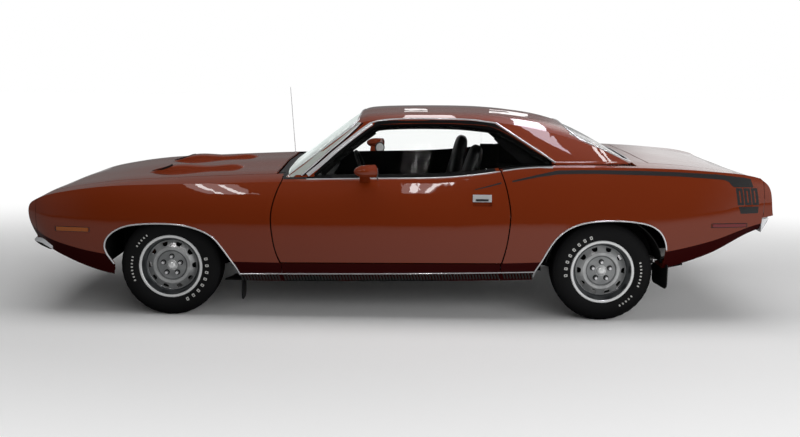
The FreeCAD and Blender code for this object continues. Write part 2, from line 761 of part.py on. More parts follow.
def make_lid_arm(side):
    # Goose-necked arm that carries the trunk lid round the deck's edge, bored for its pin
    points = [(lid_axis[0] + a * lid_arm_reach, lid_axis[1] + b * lid_arm_reach) for a, b in lid_arm_shares]
    y0, y1 = side * lid_hinge_y - hinge_arm_half, side * lid_hinge_y + hinge_arm_half
    arm = side_prism(ring_of(points), y0, y1)
    return arm.cut(cylinder((lid_axis[0], y0, lid_axis[1]), (lid_axis[0], y1, lid_axis[1]),
                            hinge_pin_radius + running_fit))


def make_lid_pin(side):
    # Ear under the rear deck with the pin that the lid's arm turns on
    near = side * (lid_hinge_y + hinge_arm_half + seat_gap)
    far = near + side * plate
    y0, y1 = sorted((near, far))
    ear = box(lid_axis[0] - hinge_arm_radius, lid_axis[0] + hinge_arm_radius, y0, y1,
              lid_axis[1] - hinge_arm_radius, tall).common(inner_body)
    pin = cylinder((lid_axis[0], far, lid_axis[1]),
                   (lid_axis[0], side * (lid_hinge_y - hinge_arm_half), lid_axis[1]), hinge_pin_radius)
    return ear.fuse(pin)


shelf_front_x = 1180.0
shelf_z = 905.0


def make_rear_deck():
    # Deck strip between the backlight and the trunk lid, with the shelf behind the rear seat
    edge = lid_half_width + panel_gap - seam
    strip = body_shell.common(everywhere(deck_front_x - overrun, lid_front_x - panel_gap, -edge, edge,
                                         widest_z_shares[0][1] * height))
    rear = lid_front_x - overrun * 2
    shelf = box(shelf_front_x, rear, -lid_half_width, lid_half_width, shelf_z, shelf_z + plate)
    riser = box(rear - plate, rear, -lid_half_width, lid_half_width, shelf_z, tall).common(inner_body)
    return united([strip, shelf, riser, make_lid_pin(-1), make_lid_pin(1)])


# Tail panel and lamps
tail_lamp_y = (300.0, 660.0)
tail_lamp_z = (708.0, 800.0)
tail_lamp_corner = 14.0
tail_lamp_gap = seat_gap
tail_lamp_depth = 60.0
rear_valance_x = 2100.0
rear_valance_top = 700.0
tail_reach = half_length + overrun


def make_tail():
    # Tail panel with its lamp openings, carried on under the car as the rear valance
    ring = body_shell.common(everywhere(tail_split_x, tail_reach))
    valance = body_shell.common(everywhere(rear_valance_x, tail_reach, -lid_half_width, lid_half_width,
                                           -overrun, rear_valance_top))
    holes = [rounded_box(tail_split_x - overrun, tail_reach, side * tail_lamp_y[0], side * tail_lamp_y[1],
                         tail_lamp_z[0], tail_lamp_z[1], tail_lamp_corner) for side in (-1, 1)]
    return cut_all(ring.fuse(valance), holes)


def make_tail_lamp(side):
    # Deep lens that fills its opening and follows the tail's slope
    grow = tail_lamp_gap
    block = rounded_box(tail_split_x - tail_lamp_depth, tail_reach, side * (tail_lamp_y[0] + grow),
                        side * (tail_lamp_y[1] - grow), tail_lamp_z[0] + grow, tail_lamp_z[1] - grow,
                        tail_lamp_corner - grow)
    return block.common(outer_body)


front_marker_x = (-2158.0, -1950.0)
front_marker_z = (546.0, 572.0)
rear_marker_x = (1958.0, 2176.0)
rear_marker_z = (624.0, 644.0)
turn_lamp_y = (480.0, 620.0)
turn_lamp_x = (-2170.0, -2110.0)


def make_marker(x_range, z_range):
    # Left side marker: a thin lens on the panel's skin
    return trim_shell.common(box(x_range[0], x_range[1], -body_width, 0, z_range[0], z_range[1]))


def make_turn_lamp():
    # Left turn lamp, a thin lens on the valance
    return trim_shell.common(box(turn_lamp_x[0], turn_lamp_x[1], -turn_lamp_y[1], -turn_lamp_y[0],
                                 -overrun, valance_top))


# Roof, pillars and fixed glass
def plan_opening(shares, ease):
    # Plan of a front or rear glass opening, made smaller by the ease
    (near_x, near_y), (far_x, far_y) = shares
    near = (near_x * half_length + ease, near_y * half_width - ease)
    far = (far_x * half_length - ease, far_y * half_width - ease)
    corners = [(near[0], -near[1]), (far[0], -far[1]), (far[0], far[1]), (near[0], near[1])]
    return plan_prism(ring_of(corners), widest_z_shares[0][1] * height, tall)


def make_roof():
    # Roof skin with its front and rear pillars, seated on the body
    shell = outer_roof.cut(roof_form(roof_skin))
    cuts = [side_prism(window_outline(0.0), -body_width, body_width), plan_opening(windshield_shares, 0.0),
            plan_opening(backlight_shares, 0.0), outer_body]
    return cut_all(shell, cuts)


def make_fixed_glass():
    # Windshield, backlight and the two rear side panes
    front = glass_shell.common(plan_opening(windshield_shares, seat_gap)).cut(skin_bed)
    rear = glass_shell.common(plan_opening(backlight_shares, seat_gap)).cut(skin_bed)
    side = glass_shell.common(side_prism(window_outline(seat_gap), -body_width, 0))
    side = side.common(everywhere(division_x + panel_gap / 2, half_length)).cut(skin_bed)
    return [front, rear] + pair(side)


# Bumpers: slim bars that wrap the corners, lofted across the car
bumper_height = 88.0
front_bumper_z = 409.0
rear_bumper_z = 586.0
front_section_shares = ((1.0, .04), (.5, .24), (.08, .5), (0, .6), (.08, .7), (.36, .91), (.66, 1.0),
                        (1.0, .97))
rear_section_shares = ((1.0, 0), (.72, .14), (.34, .46), (.05, .8), (0, .9), (.07, .97), (.2, 1.0),
                       (1.0, .99))
front_bumper_shares = ((.868, -.948, -.931, .94), (.858, -.966, -.94, .97), (.825, -.984, -.951, 1.0),
                       (.74, -.9935, -.956, 1.0), (.45, -.998, -.9575, 1.0), (0, -1.0, -.9595, 1.0))
rear_bumper_shares = ((.886, .9685, .962, .94), (.877, .976, .962, .97), (.85, .985, .962, 1.0),
                      (.77, .9915, .962, 1.0), (.5, .997, .962, 1.0), (0, 1.0, .962, 1.0))


def make_bumper(rows, section, foot_z):
    # Pointed bar lofted across the car: a row has its place across, its face and back along, and its height
    wires = []
    places = [(-row[0],) + row[1:] for row in rows] + list(reversed(rows[:-1]))
    for across, face, back, rise in places:
        points = [Vector((face + (back - face) * a) * half_length, across * half_width,
                         foot_z + rise * bumper_height * b) for a, b in section]
        wires.append(Part.Wire([smooth(points), Part.makeLine(points[-1], points[0])]))
    return Part.makeLoft(wires, True, False)


# Wheels
rim_set = 6.0
hub_step = 8.0
ring_width = 14.0
ring_round = 4.0
barrel_taper = 14.0
disc_edge_radius = 160.0
disc_edge_drop = 14.0
disc_crown_radius = 104.0
disc_crown_rise = 8.0
hub_flat_radius = 94.0
slot_outer_radius = 152.0
slot_half = 18.0
slot_reach = 25.0
slot_round_shares = ((-1, 1), (-.98, .55), (-.72, .16), (0, 0), (.72, .16), (.98, .55), (1, 1))
cap_lean = 5.0


def make_rim():
    # Left wheel: barrel with lips, dished and slotted disc, hub bore, cap and lug nuts
    half = tyre_width / 2
    outer = -half_track - half + rim_set
    inner = -half_track + half - rim_set
    face = outer + disc_recess
    back = face - hub_step + hub_depth
    wall = rim_radius - rim_barrel
    ring_inner = rim_radius + rim_lip - ring_width
    crown = face - disc_crown_rise
    edge = face + disc_edge_drop
    barrel = [(outer, rim_radius + rim_lip - ring_round), (outer, ring_inner),
              (outer + ring_round, ring_inner - ring_round), (outer + rim_lip, wall),
              (face + disc_edge_drop / 2, wall - barrel_taper), (edge, disc_edge_radius),
              (crown, disc_crown_radius + disc_edge_drop), (crown, disc_crown_radius - disc_crown_rise / 2),
              (face, hub_flat_radius), (face, 0), (back, 0), (back, hub_radius),
              (face + disc_thickness, hub_flat_radius + disc_thickness / 2),
              (crown + disc_thickness, disc_crown_radius),
              (crown + disc_thickness, disc_crown_radius + disc_thickness),
              (edge + disc_thickness, disc_edge_radius), (face + disc_edge_drop * 2, wall), (inner, wall),
              (inner, rim_radius + rim_lip), (inner - rim_lip / 2, rim_radius + rim_lip),
              (inner - rim_lip, rim_radius), (outer + rim_lip, rim_radius),
              (outer + rim_lip / 2, rim_radius + rim_lip), (outer + ring_round, rim_radius + rim_lip)]
    rim = outline_face(ring_of(barrel), lambda a, b: Vector(0, a, b))
    rim = rim.revolve(Vector(0, 0, 0), Vector(0, 1, 0), full_turn)
    bore = cylinder((0, back, 0), (0, back - spindle_depth, 0), spindle_radius + running_fit)
    cuts = [bore] + [make_slot(index, face) for index in range(slot_count)]
    rim = rim.cut(Part.Compound(cuts))
    return united([rim, make_cap(face)] + [make_nut(index, face) for index in range(nut_count)])


def make_slot(index, face):
    # One half-oval slot through the disc, its flat side outwards
    run = [(a * slot_half, slot_outer_radius - slot_reach + b * slot_reach) for a, b in slot_round_shares]
    runs = [run, [run[-1], run[0]]]
    tool = outline_face(runs, lambda a, b: Vector(a, face - overrun, b))
    tool = tool.extrude(Vector(0, overrun * 2, 0))
    tool.rotate(Vector(0, 0, 0), Vector(0, 1, 0), full_turn * (index + .5) / slot_count)
    return tool


def make_cap(face):
    # Domed centre cap on a low collar
    collar = (face - cap_height / 2, cap_radius - cap_lean)
    top = (face - cap_height, 0)
    runs = [[(face, 0), (face, cap_radius)], [(face, cap_radius), collar],
            [collar, (face - cap_height * cap_dome_share, cap_radius / 2), top], [top, (face, 0)]]
    cap = outline_face(runs, lambda a, b: Vector(0, a, b))
    return cap.revolve(Vector(0, 0, 0), Vector(0, 1, 0), full_turn)


cap_dome_share = .93


def make_nut(index, face):
    # Round-topped lug nut on the stud circle
    turn = 2 * math.pi * index / nut_count
    x = math.sin(turn) * stud_circle / 2
    z = math.cos(turn) * stud_circle / 2
    body = cylinder((x, face, z), (x, face - nut_height, z), nut_radius)
    rims = [edge for edge in body.Edges if abs(edge.BoundBox.YMin - face + nut_height) < seat_gap
            and edge.BoundBox.YLength < seat_gap]
    return body.makeFillet(nut_radius / 2, rims)


def make_tyre():
    # Left tyre with rounded shoulders, seated on the rim between its lips
    half = tyre_width / 2
    run_out = half - rim_set - rim_lip - bead_inset
    side = [(-half_track - run_out, rim_radius), (-half_track - half, rim_radius + tyre_bulge),
            (-half_track - half + tyre_shoulder / 2, tyre_radius - tyre_shoulder),
            (-half_track - half + tyre_shoulder * tread_edge_share, tyre_radius)]
    flip = [(-2 * half_track - a, b) for a, b in reversed(side)]
    runs = [side, [side[-1], flip[0]], flip, [flip[-1], side[0]]]
    face = outline_face(runs, lambda a, b: Vector(0, a, b))
    return face.revolve(Vector(0, 0, 0), Vector(0, 1, 0), full_turn)


tyre_bulge = 58.0
bead_inset = 4.0
tyre_shoulder = 20.0
tread_edge_share = 1.6


def at_axle(shape, x):
    moved = shape.copy()
    moved.translate(Vector(x, 0, axle_height))
    return moved


# Knuckles, axle and springs
def hub_back_y():
    # Inner face of the wheel's hub
    return half_track + tyre_width / 2 - rim_set - disc_recess + hub_step - hub_depth


brake_gap = 5.0
arm_thickness = 22.0
arm_end_half = 23.0
arm_root_half = 150.0
arm_root_y = 400.0
arm_boss_gap = seat_gap


def make_knuckle():
    # Left knuckle: kingpin, brake drum and the spindle that carries the wheel
    pin = cylinder((front_axle_x, -kingpin_y, kingpin_low), (front_axle_x, -kingpin_y, kingpin_high),
                   kingpin_radius)
    drum = cylinder((front_axle_x, -hub_back_y() + brake_gap, axle_height),
                    (front_axle_x, -hub_back_y() + brake_gap + drum_width, axle_height), drum_radius)
    spindle = cylinder((front_axle_x, -kingpin_y, axle_height),
                       (front_axle_x, -hub_back_y() - spindle_depth + brake_gap, axle_height), spindle_radius)
    return united([pin, drum, spindle])


def make_front_suspension():
    # Crossmember between the rails with upper and lower arms out to the kingpins
    beam = box(front_axle_x - arm_root_half, front_axle_x + arm_root_half, -arm_root_y, arm_root_y,
               crossmember_low, crossmember_low + crossmember_height)
    solids = [beam]
    for side in (-1, 1):
        for z in (kingpin_low - arm_boss_gap - arm_thickness, kingpin_high + arm_boss_gap):
            corners = [(front_axle_x - arm_root_half, side * (arm_root_y - overrun)),
                       (front_axle_x - arm_end_half, side * (kingpin_y + arm_end_half)),
                       (front_axle_x + arm_end_half, side * (kingpin_y + arm_end_half)),
                       (front_axle_x + arm_root_half, side * (arm_root_y - overrun))]
            solids.append(plan_prism(ring_of(corners), z, z + arm_thickness))
        tower_y = sorted((side * (arm_root_y - overrun), side * (arm_root_y + overrun)))
        solids.append(box(front_axle_x - arm_root_half / 2, front_axle_x + arm_root_half / 2, tower_y[0],
                          tower_y[1], crossmember_low, front_rail_z - seat_gap))
    return united(solids)


crossmember_low = 172.0
crossmember_height = 90.0
axle_tube_radius = 38.0
diff_radius = 130.0
spring_y = 545.0
spring_half = 32.0
spring_thickness = 26.0
spring_x = (900.0, 1860.0)
spring_sag = 60.0
spring_top = 276.0
hanger_half = 14.0


def make_rear_axle():
    # Tube with its gear housing, brake drums, spindles and two leaf springs with their hangers
    tube = cylinder((rear_axle_x, -hub_back_y() - spindle_depth + brake_gap, axle_height),
                    (rear_axle_x, hub_back_y() + spindle_depth - brake_gap, axle_height), spindle_radius)
    sleeve = cylinder((rear_axle_x, -hub_back_y() + brake_gap + drum_width, axle_height),
                      (rear_axle_x, hub_back_y() - brake_gap - drum_width, axle_height), axle_tube_radius)
    housing = Part.makeSphere(diff_radius, Vector(rear_axle_x, 0, axle_height))
    solids = [tube, sleeve, housing]
    for side in (-1, 1):
        solids.append(cylinder((rear_axle_x, side * (hub_back_y() - brake_gap), axle_height),
                               (rear_axle_x, side * (hub_back_y() - brake_gap - drum_width), axle_height),
                               drum_radius))
        solids.append(make_spring(side))
    return united(solids)


def make_spring(side):
    # Leaf spring bowed under the axle, with a hanger up to the floor at each end
    low = spring_top - spring_thickness
    bow = [(spring_x[0], low + spring_sag), (sum(spring_x) / 2, low), (spring_x[1], low + spring_sag)]
    top = [(x, z + spring_thickness) for x, z in reversed(bow)]
    runs = [bow, [bow[-1], top[0]], top, [top[-1], bow[0]]]
    y0, y1 = sorted((side * (spring_y - spring_half), side * (spring_y + spring_half)))
    leaf = side_prism(runs, y0, y1)
    pieces = [leaf]
    for x in spring_x:
        top_z = min(floor_z(x - hanger_half), floor_z(x + hanger_half)) - seat_gap
        pieces.append(box(x - hanger_half, x + hanger_half, y0, y1, low + spring_sag, top_z))
    saddle = box(rear_axle_x - spring_half, rear_axle_x + spring_half, y0, y1, low, axle_height)
    return united(pieces + [saddle])


# Floor, rails and inner panels
floor_half_width = 738.0
floor_thickness = 6.0
floor_shares = ((-.3125, .43), (-.285, .225), (.34, .225), (.4, .385), (.6, .4), (.66, .345), (.8, .355),
                (.93, .457))
tunnel_half_width = 145.0
tunnel_top = 470.0
tunnel_x = (-725.0, 912.0)
rail_y = (400.0, 458.0)
rail_thickness = 80.0


def floor_z(x):
    # Height of the floor's underside
    points = placed(floor_shares)
    for low, high in zip(points, points[1:]):
        if low[0] <= x <= high[0]:
            return low[1] + (high[1] - low[1]) * (x - low[0]) / (high[0] - low[0])
    return points[0][1]


def make_floor():
    # Floor from the toe board to the tail, with its tunnel and the rails under it
    low = placed(floor_shares)
    high = [(x, z + floor_thickness) for x, z in reversed(low)]
    pan = side_prism(ring_of(low + high), -floor_half_width, floor_half_width)
    outer = box(tunnel_x[0], tunnel_x[1], -tunnel_half_width, tunnel_half_width, floor_z(0), tunnel_top)
    inner = box(tunnel_x[0] - overrun, tunnel_x[1], -tunnel_half_width + plate, tunnel_half_width - plate,
                0, tunnel_top - plate)
    upper = [edge for edge in outer.Edges if edge.BoundBox.ZMin > tunnel_top - seat_gap
             and edge.BoundBox.YLength < seat_gap]
    hump = outer.makeFillet(tunnel_round, upper)
    within = [edge for edge in inner.Edges if edge.BoundBox.ZMin > tunnel_top - plate - seat_gap
              and edge.BoundBox.YLength < seat_gap]
    hollow = inner.makeFillet(tunnel_round - plate, within)
    floor = cut_all(united([pan, hump]), [hollow] + [make_well_space(side) for side in (-1, 1)])
    rails = []
    for side in (-1, 1):
        y0, y1 = sorted((side * rail_y[0], side * rail_y[1]))
        rails.append(box(front_rail_x, toe_x, y0, y1, front_rail_z, front_rail_z + rail_thickness))
    return united([floor] + rails)


def make_well_space(side):
    # Space of a rear wheelhouse, which the floor goes round
    start = (rear_axle_x, side * wheelhouse_y, axle_height)
    return cylinder(start, (rear_axle_x, side * body_width, axle_height), wheelhouse_radius + plate)


tunnel_round = 90.0
front_rail_x = -2196.0
toe_x = -702.0
front_rail_z = 450.0
wheelhouse_y = 620.0
wheelhouse_radius = 372.0
wheelhouse_low = 385.0
apron_y = 458.0
apron_low = 455.0
support_low = 436.0
apron_top = 790.0
support_x = -2215.0
baffle_x = (-1862.0, -1052.0)
baffle_outer_y = 880.0
baffle_low = 330.0
baffle_top = 640.0
radiator_half_width = 330.0
radiator_z = (440.0, 740.0)
radiator_depth = 60.0


def make_wheelhouses():
    # Rear wheelhouses, front inner aprons and the radiator with its support
    solids = []
    for side in (-1, 1):
        start = (rear_axle_x, side * wheelhouse_y, axle_height)
        end = (rear_axle_x, side * body_width, axle_height)
        shell = cylinder(start, end, wheelhouse_radius + plate)
        inside = (rear_axle_x, side * (wheelhouse_y + plate), axle_height)
        shell = shell.cut(cylinder(inside, end, wheelhouse_radius))
        shell = shell.common(everywhere(0, half_length, z0=wheelhouse_low)).common(clear_body)
        solids.append(shell)
        y0, y1 = sorted((side * apron_y, side * (apron_y + plate)))
        solids.append(box(support_x, firewall_x - seat_gap, y0, y1, apron_low, apron_top).common(clear_body))
        y0, y1 = sorted((side * apron_y, side * baffle_outer_y))
        for x in baffle_x:
            solids[-1] = solids[-1].fuse(box(x, x + plate, y0, y1, baffle_low, baffle_top).common(clear_body))
        y0, y1 = sorted((side * apron_y, side * (hood_half_width + overrun)))
        solids.append(box(support_x, support_x + plate, y0, y1, support_low, apron_top).common(clear_body))
    bar = box(support_x, support_x + plate, -apron_y, apron_y, radiator_z[1], apron_top).common(clear_body)
    low_bar = box(support_x, support_x + plate, -apron_y, apron_y, support_low,
                  support_low + rail_thickness / 2)
    core = box(support_x + plate, support_x + plate + radiator_depth, -radiator_half_width,
               radiator_half_width, radiator_z[0], radiator_z[1] + overrun / 2)
    return united(solids[1:3] + solids[4:6] + [bar, low_bar, core]).Solids + [solids[0], solids[3]]


# Engine, gearbox, prop shaft, exhaust and tank
engine_x = (-1820.0, -1130.0)
engine_half_width = 255.0
engine_z = (270.0, 790.0)
gearbox_half_width = 104.0
gearbox_rear_x = -420.0
gearbox_z = (250.0, 440.0)
shaft_radius = 38.0
engine_corner = 40.0


def make_engine():
    # Engine and gearbox as one plain mass with the prop shaft
    block = box(engine_x[0], engine_x[1], -engine_half_width, engine_half_width, engine_z[0], engine_z[1])
    block = block.makeFillet(engine_corner, block.Edges)
    gearbox = box(engine_x[1] - overrun, gearbox_rear_x, -gearbox_half_width, gearbox_half_width,
                  gearbox_z[0], gearbox_z[1])
    gearbox = gearbox.makeFillet(engine_corner, gearbox.Edges)
    shaft = cylinder((gearbox_rear_x - overrun, 0, axle_height),
                     (rear_axle_x - diff_radius - seam, 0, axle_height), shaft_radius)
    return united([block, gearbox, shaft])


pipe_radius = 29.0
exhaust_y = 190.0
exhaust_z = 205.0
muffler_x = (250.0, 760.0)
muffler_radius = 72.0
tip_y = 460.0
tip_radius = 36.0
over_axle_z = 440.0
tip_z = 330.0
tip_end_x = 1700.0
muffler_pipe_rise = 50.0


def make_exhaust():
    # Left exhaust pipe: down from the engine, through its silencer, over the axle and out behind the wheel
    places = [(engine_x[1] + seat_gap, exhaust_y, exhaust_port_z),
              (engine_x[1] + overrun, exhaust_y, exhaust_port_z),
              (exhaust_down_x, exhaust_y, exhaust_z), (muffler_x[0], exhaust_y, exhaust_z),
              (muffler_x[1], exhaust_y, exhaust_z), (rise_x[0], exhaust_y, exhaust_z + muffler_pipe_rise),
              (rise_x[1], over_axle_y, over_axle_z), (rise_x[2], over_axle_y, over_axle_z),
              (rise_x[3], tip_y, tip_z), (tip_end_x - overrun, tip_y, tip_z)]
    route = [Vector(x, -y, z) for x, y, z in places]
    solids = []
    for start, end in zip(route, route[1:]):
        solids.append(cylinder(start, end, pipe_radius))
        solids.append(Part.makeSphere(pipe_radius, end))
    muffler = cylinder((muffler_x[0], -exhaust_y, exhaust_z), (muffler_x[1], -exhaust_y, exhaust_z),
                       muffler_radius)
    middle = sum(muffler_x) / 2
    hanger = box(middle - hanger_width, middle + hanger_width, -exhaust_y - hanger_width / 2,
                 -exhaust_y + hanger_width / 2, exhaust_z, floor_z(middle) - seat_gap)
    tip = cylinder((tip_end_x - overrun * 2, -tip_y, tip_z), (tip_end_x, -tip_y, tip_z), tip_radius)
    bore = cylinder((tip_end_x - overrun, -tip_y, tip_z), (tip_end_x, -tip_y, tip_z), tip_radius - seam)
    return united(solids + [muffler, hanger, tip]).cut(bore)


exhaust_port_z = 340.0
exhaust_down_x = -900.0
rise_x = (960.0, 1180.0, 1400.0, 1560.0)
over_axle_y = 300.0
hanger_width = 30.0
tank_x = (1590.0, 1880.0)
tank_half_width = 330.0
tank_low = 290.0
tank_corner = 34.0


def make_tank():
    tank = box(tank_x[0], tank_x[1], -tank_half_width, tank_half_width, tank_low,
               floor_z(tank_x[0] + tank_corner) - seat_gap)
    return tank.makeFillet(tank_corner, tank.Edges)


rear_flap_x = 1694.0
rear_flap_y = (640.0, 884.0)
rear_flap_z = (214.0, 372.0)
front_flap_x = -998.0
front_flap_y = (716.0, 868.0)
front_flap_z = (105.0, 262.0)
flap_thickness = 6.0
flap_lean = 34.0
flap_corner = 40.0


def make_flap(x, y_range, z_range, lean):
    # Mud flap hung behind a left wheel, with its inner edge leaning forwards and its lower corners rounded
    (inner_y, outer_y), (low, high) = y_range, z_range
    corners = [(x, -outer_y), (x + flap_thickness, -outer_y), (x + flap_thickness - lean, -inner_y),
               (x - lean, -inner_y)]
    flap = plan_prism(ring_of(corners), low, high)
    upright = [edge for edge in flap.Edges if edge.BoundBox.ZLength < seat_gap
               and edge.BoundBox.ZMax < low + seat_gap and edge.BoundBox.YLength < seat_gap]
    return flap.makeFillet(flap_corner, upright).cut(skin_bed)


# Cabin
seat_y = 400.0
seat_half_width = 248.0
seat_outline_shares = ((-.03, .245), (-.035, .33), (0, .36), (.13, .335), (.165, .4), (.215, .82),
                       (.245, .825), (.245, .7), (.215, .36), (.2, .245))
seat_corner = 30.0


def make_seat():
    # Left front seat: high-backed bucket on its base
    points = placed(seat_outline_shares)
    points[0] = (points[0][0], floor_top())
    points[-1] = (points[-1][0], floor_top())
    seat = side_prism(ring_of(points), -seat_y - seat_half_width, -seat_y + seat_half_width)
    edges = [edge for edge in seat.Edges if edge.BoundBox.ZMin > floor_top() + seat_corner]
    return seat.makeFillet(seat_corner, edges)


def floor_top():
    return floor_z(0) + floor_thickness + seat_gap


rear_seat_half_width = 600.0
rear_seat_shares = ((.352, .345), (.345, .4), (.36, .425), (.485, .41), (.525, .69), (.565, .69))
rear_seat_foot_shares = (.53, .4)


def make_rear_seat():
    # Bench with its back up to the shelf
    points = placed(rear_seat_shares)
    for share in rear_seat_foot_shares:
        x = share * half_length
        points.append((x, floor_z(x) + floor_thickness + seat_gap))
    seat = side_prism(ring_of(points), -rear_seat_half_width, rear_seat_half_width)
    width = tunnel_half_width + seat_gap
    return seat.cut(box(tunnel_x[0], tunnel_x[1] + seat_gap, -width, width, 0, tunnel_top + seat_gap))


dash_half_width = 730.0
dash_shares = ((-.307, .46), (-.307, .648), (-.255, .67), (-.21, .666), (-.2, .63), (-.215, .56),
               (-.235, .47))
console_x = (-470.0, 330.0)
console_half_width = 100.0
console_top = 520.0
console_corner = 16.0


def make_dashboard():
    # Dashboard across the cabin, with the console on the tunnel
    dash = side_prism(ring_of(placed(dash_shares)), -dash_half_width, dash_half_width)
    console = box(console_x[0], console_x[1], -console_half_width, console_half_width, tunnel_top + seat_gap,
                  console_top)
    upper = [edge for edge in console.Edges if edge.BoundBox.ZMin > console_top - seat_gap]
    return [dash.cut(steering_column(column_radius + seat_gap)), console.makeFillet(console_corner, upper)]


wheel_centre = (-222.0, -400.0, 846.0)
steering_radius = 188.0
grip_radius = 12.0
steering_lean = 24.0
boss_radius = 42.0
spoke_half = 14.0
column_radius = 24.0
column_length = 380.0
spoke_count = 3


def make_steering_wheel():
    # Rim with three flat spokes and a boss, on the column that goes into the dashboard
    ring = Part.makeTorus(steering_radius, grip_radius)
    boss = Part.makeCylinder(boss_radius, grip_radius * 3, Vector(0, 0, -grip_radius * 2))
    solids = [ring, boss]
    for index in range(spoke_count):
        spoke = box(0, steering_radius, -spoke_half, spoke_half, -grip_radius / 2, 0)
        spoke.rotate(Vector(0, 0, 0), Vector(0, 0, 1), full_turn * index / spoke_count + full_turn / 4)
        solids.append(spoke)
    wheel = united(solids)
    wheel.rotate(Vector(0, 0, 0), Vector(0, 1, 0), full_turn / 4 - steering_lean)
    wheel.translate(Vector(*wheel_centre))
    return united([wheel, steering_column(column_radius)])


def steering_column(radius):
    # Column from the wheel's boss down into the dashboard
    column = Part.makeCylinder(radius, column_length, Vector(0, 0, -column_length))
    column.rotate(Vector(0, 0, 0), Vector(0, 1, 0), full_turn / 4 - steering_lean)
    column.translate(Vector(*wheel_centre))
    return column


side_trim_x = (712.0, 1180.0)
side_trim_y = 742.0
side_trim_low = 300.0


def make_side_trim():
    # Left trim panel beside the rear seat, above the wheelhouse
    panel = box(side_trim_x[0], side_trim_x[1], -side_trim_y - skin, -side_trim_y, side_trim_low, tall)
    return panel.common(clear_body).cut(make_well_space(-1))


# Antenna
antenna_foot = (-831.0, 790.0)
antenna_lean = 38.0
antenna_tip_z = 1399.0
antenna_radius = 2.6
antenna_base_radius = 13.0
antenna_base_height = 16.0


def make_antenna():
    foot_z = surface_z(antenna_foot[0], antenna_foot[1])
    mast = cylinder((antenna_foot[0], antenna_foot[1], foot_z),
                    (antenna_foot[0] - antenna_lean, antenna_foot[1], antenna_tip_z), antenna_radius)
    base = cylinder((antenna_foot[0], antenna_foot[1], foot_z - antenna_base_height),
                    (antenna_foot[0], antenna_foot[1], foot_z + antenna_base_height), antenna_base_radius)
    return mast.fuse(base).cut(skin_bed).removeSplitter()


trim_thickness = 5.0
cowl_drop = 14.0
glass_recess = 8.0
clear_body = body_form(skin + seat_gap)
under_cowl = body_form(cowl_drop + skin / 2)
cowl_shell = body_form(cowl_drop).cut(body_form(cowl_drop + skin))
skin_bed = body_form(-seat_gap)
trim_shell = body_form(-trim_thickness).cut(skin_bed)
glass_shell = roof_form(glass_recess).cut(roof_form(glass_recess + glass_thickness))

os.makedirs("parts", exist_ok=True)
export("nose_panel", [make_nose()])
export("grille", [make_grille()])
export("headlamps", [make_headlamp(-1), make_headlamp(1)])
export("fenders", pair(make_fender()))
export("quarters", pair(make_quarter()))
export("rockers", pair(make_rocker()))
for name, piece in (("door", make_door()), ("door_glass", make_door_glass()), ("mirror", make_mirror()),
                    ("door_handle", make_handle()), ("knuckle", make_knuckle())):
    export(name + "_left", [piece])
    export(name + "_right", [mirrored(piece)])
export("hood", [make_hood()])
export("trunk_lid", [make_trunk_lid()])
export("cowl", [make_cowl()])
export("rear_deck", [make_rear_deck()])
export("tail_panel", [make_tail()])
rear_markers = pair(make_marker(rear_marker_x, rear_marker_z))
export("tail_lamps", [make_tail_lamp(-1), make_tail_lamp(1)] + rear_markers)
export("amber_lamps", pair(make_marker(front_marker_x, front_marker_z)) + pair(make_turn_lamp()))
export("roof", [make_roof()])
export("fixed_glass", make_fixed_glass())
bumper_rear = make_bumper(rear_bumper_shares, rear_section_shares, rear_bumper_z)
bumper_rear.translate(Vector(seat_gap, 0, 0))
bumper_front = make_bumper(front_bumper_shares, front_section_shares, front_bumper_z)
export("bumper_front", [bumper_front.cut(skin_bed)])
export("bumper_rear", [bumper_rear])
rim, tyre = make_rim(), make_tyre()
for end_name, axle_x in (("front", front_axle_x), ("rear", rear_axle_x)):
    export("rim_" + end_name + "_left", [at_axle(rim, axle_x)])
    export("rim_" + end_name + "_right", [mirrored(at_axle(rim, axle_x))])
    export("tyre_" + end_name + "_left", [at_axle(tyre, axle_x)])
    export("tyre_" + end_name + "_right", [mirrored(at_axle(tyre, axle_x))])
export("front_suspension", [make_front_suspension()])
export("rear_axle", [make_rear_axle()])
export("floor_pan", [make_floor()])
export("wheelhouses", make_wheelhouses())
export("engine", [make_engine()])
export("exhaust", pair(make_exhaust()))
export("fuel_tank", [make_tank()])
export("mud_flaps", pair(make_flap(rear_flap_x, rear_flap_y, rear_flap_z, flap_lean))
       + pair(make_flap(front_flap_x, front_flap_y, front_flap_z, 0)))
export("front_seats", pair(make_seat()))
export("rear_seat", [make_rear_seat()])
export("dashboard", make_dashboard())
export("steering_wheel", [make_steering_wheel()])
export("side_trim", pair(make_side_trim()))
export("antenna", [make_antenna()])
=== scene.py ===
import math

import bmesh
import bpy
from mathutils import Matrix, Vector
from mathutils.bvhtree import BVHTree


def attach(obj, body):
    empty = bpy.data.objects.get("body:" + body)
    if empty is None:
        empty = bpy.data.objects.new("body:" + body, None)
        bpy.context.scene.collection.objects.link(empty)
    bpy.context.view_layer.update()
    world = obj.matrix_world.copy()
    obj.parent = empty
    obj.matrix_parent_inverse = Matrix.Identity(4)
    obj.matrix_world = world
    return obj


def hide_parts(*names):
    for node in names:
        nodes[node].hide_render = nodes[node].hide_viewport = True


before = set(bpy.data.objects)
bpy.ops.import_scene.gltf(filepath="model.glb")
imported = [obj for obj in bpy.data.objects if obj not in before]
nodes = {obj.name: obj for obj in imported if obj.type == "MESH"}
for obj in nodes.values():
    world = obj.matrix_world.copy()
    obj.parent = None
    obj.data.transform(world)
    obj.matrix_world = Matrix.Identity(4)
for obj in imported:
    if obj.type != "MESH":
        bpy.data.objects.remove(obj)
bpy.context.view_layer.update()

# metres: x runs towards the tail, y towards the car's right, z up
halfLength = 2.371
height = 1.303
beltHalf = .951
halfTrack = .758
frontAxle = (-1.451, .318)
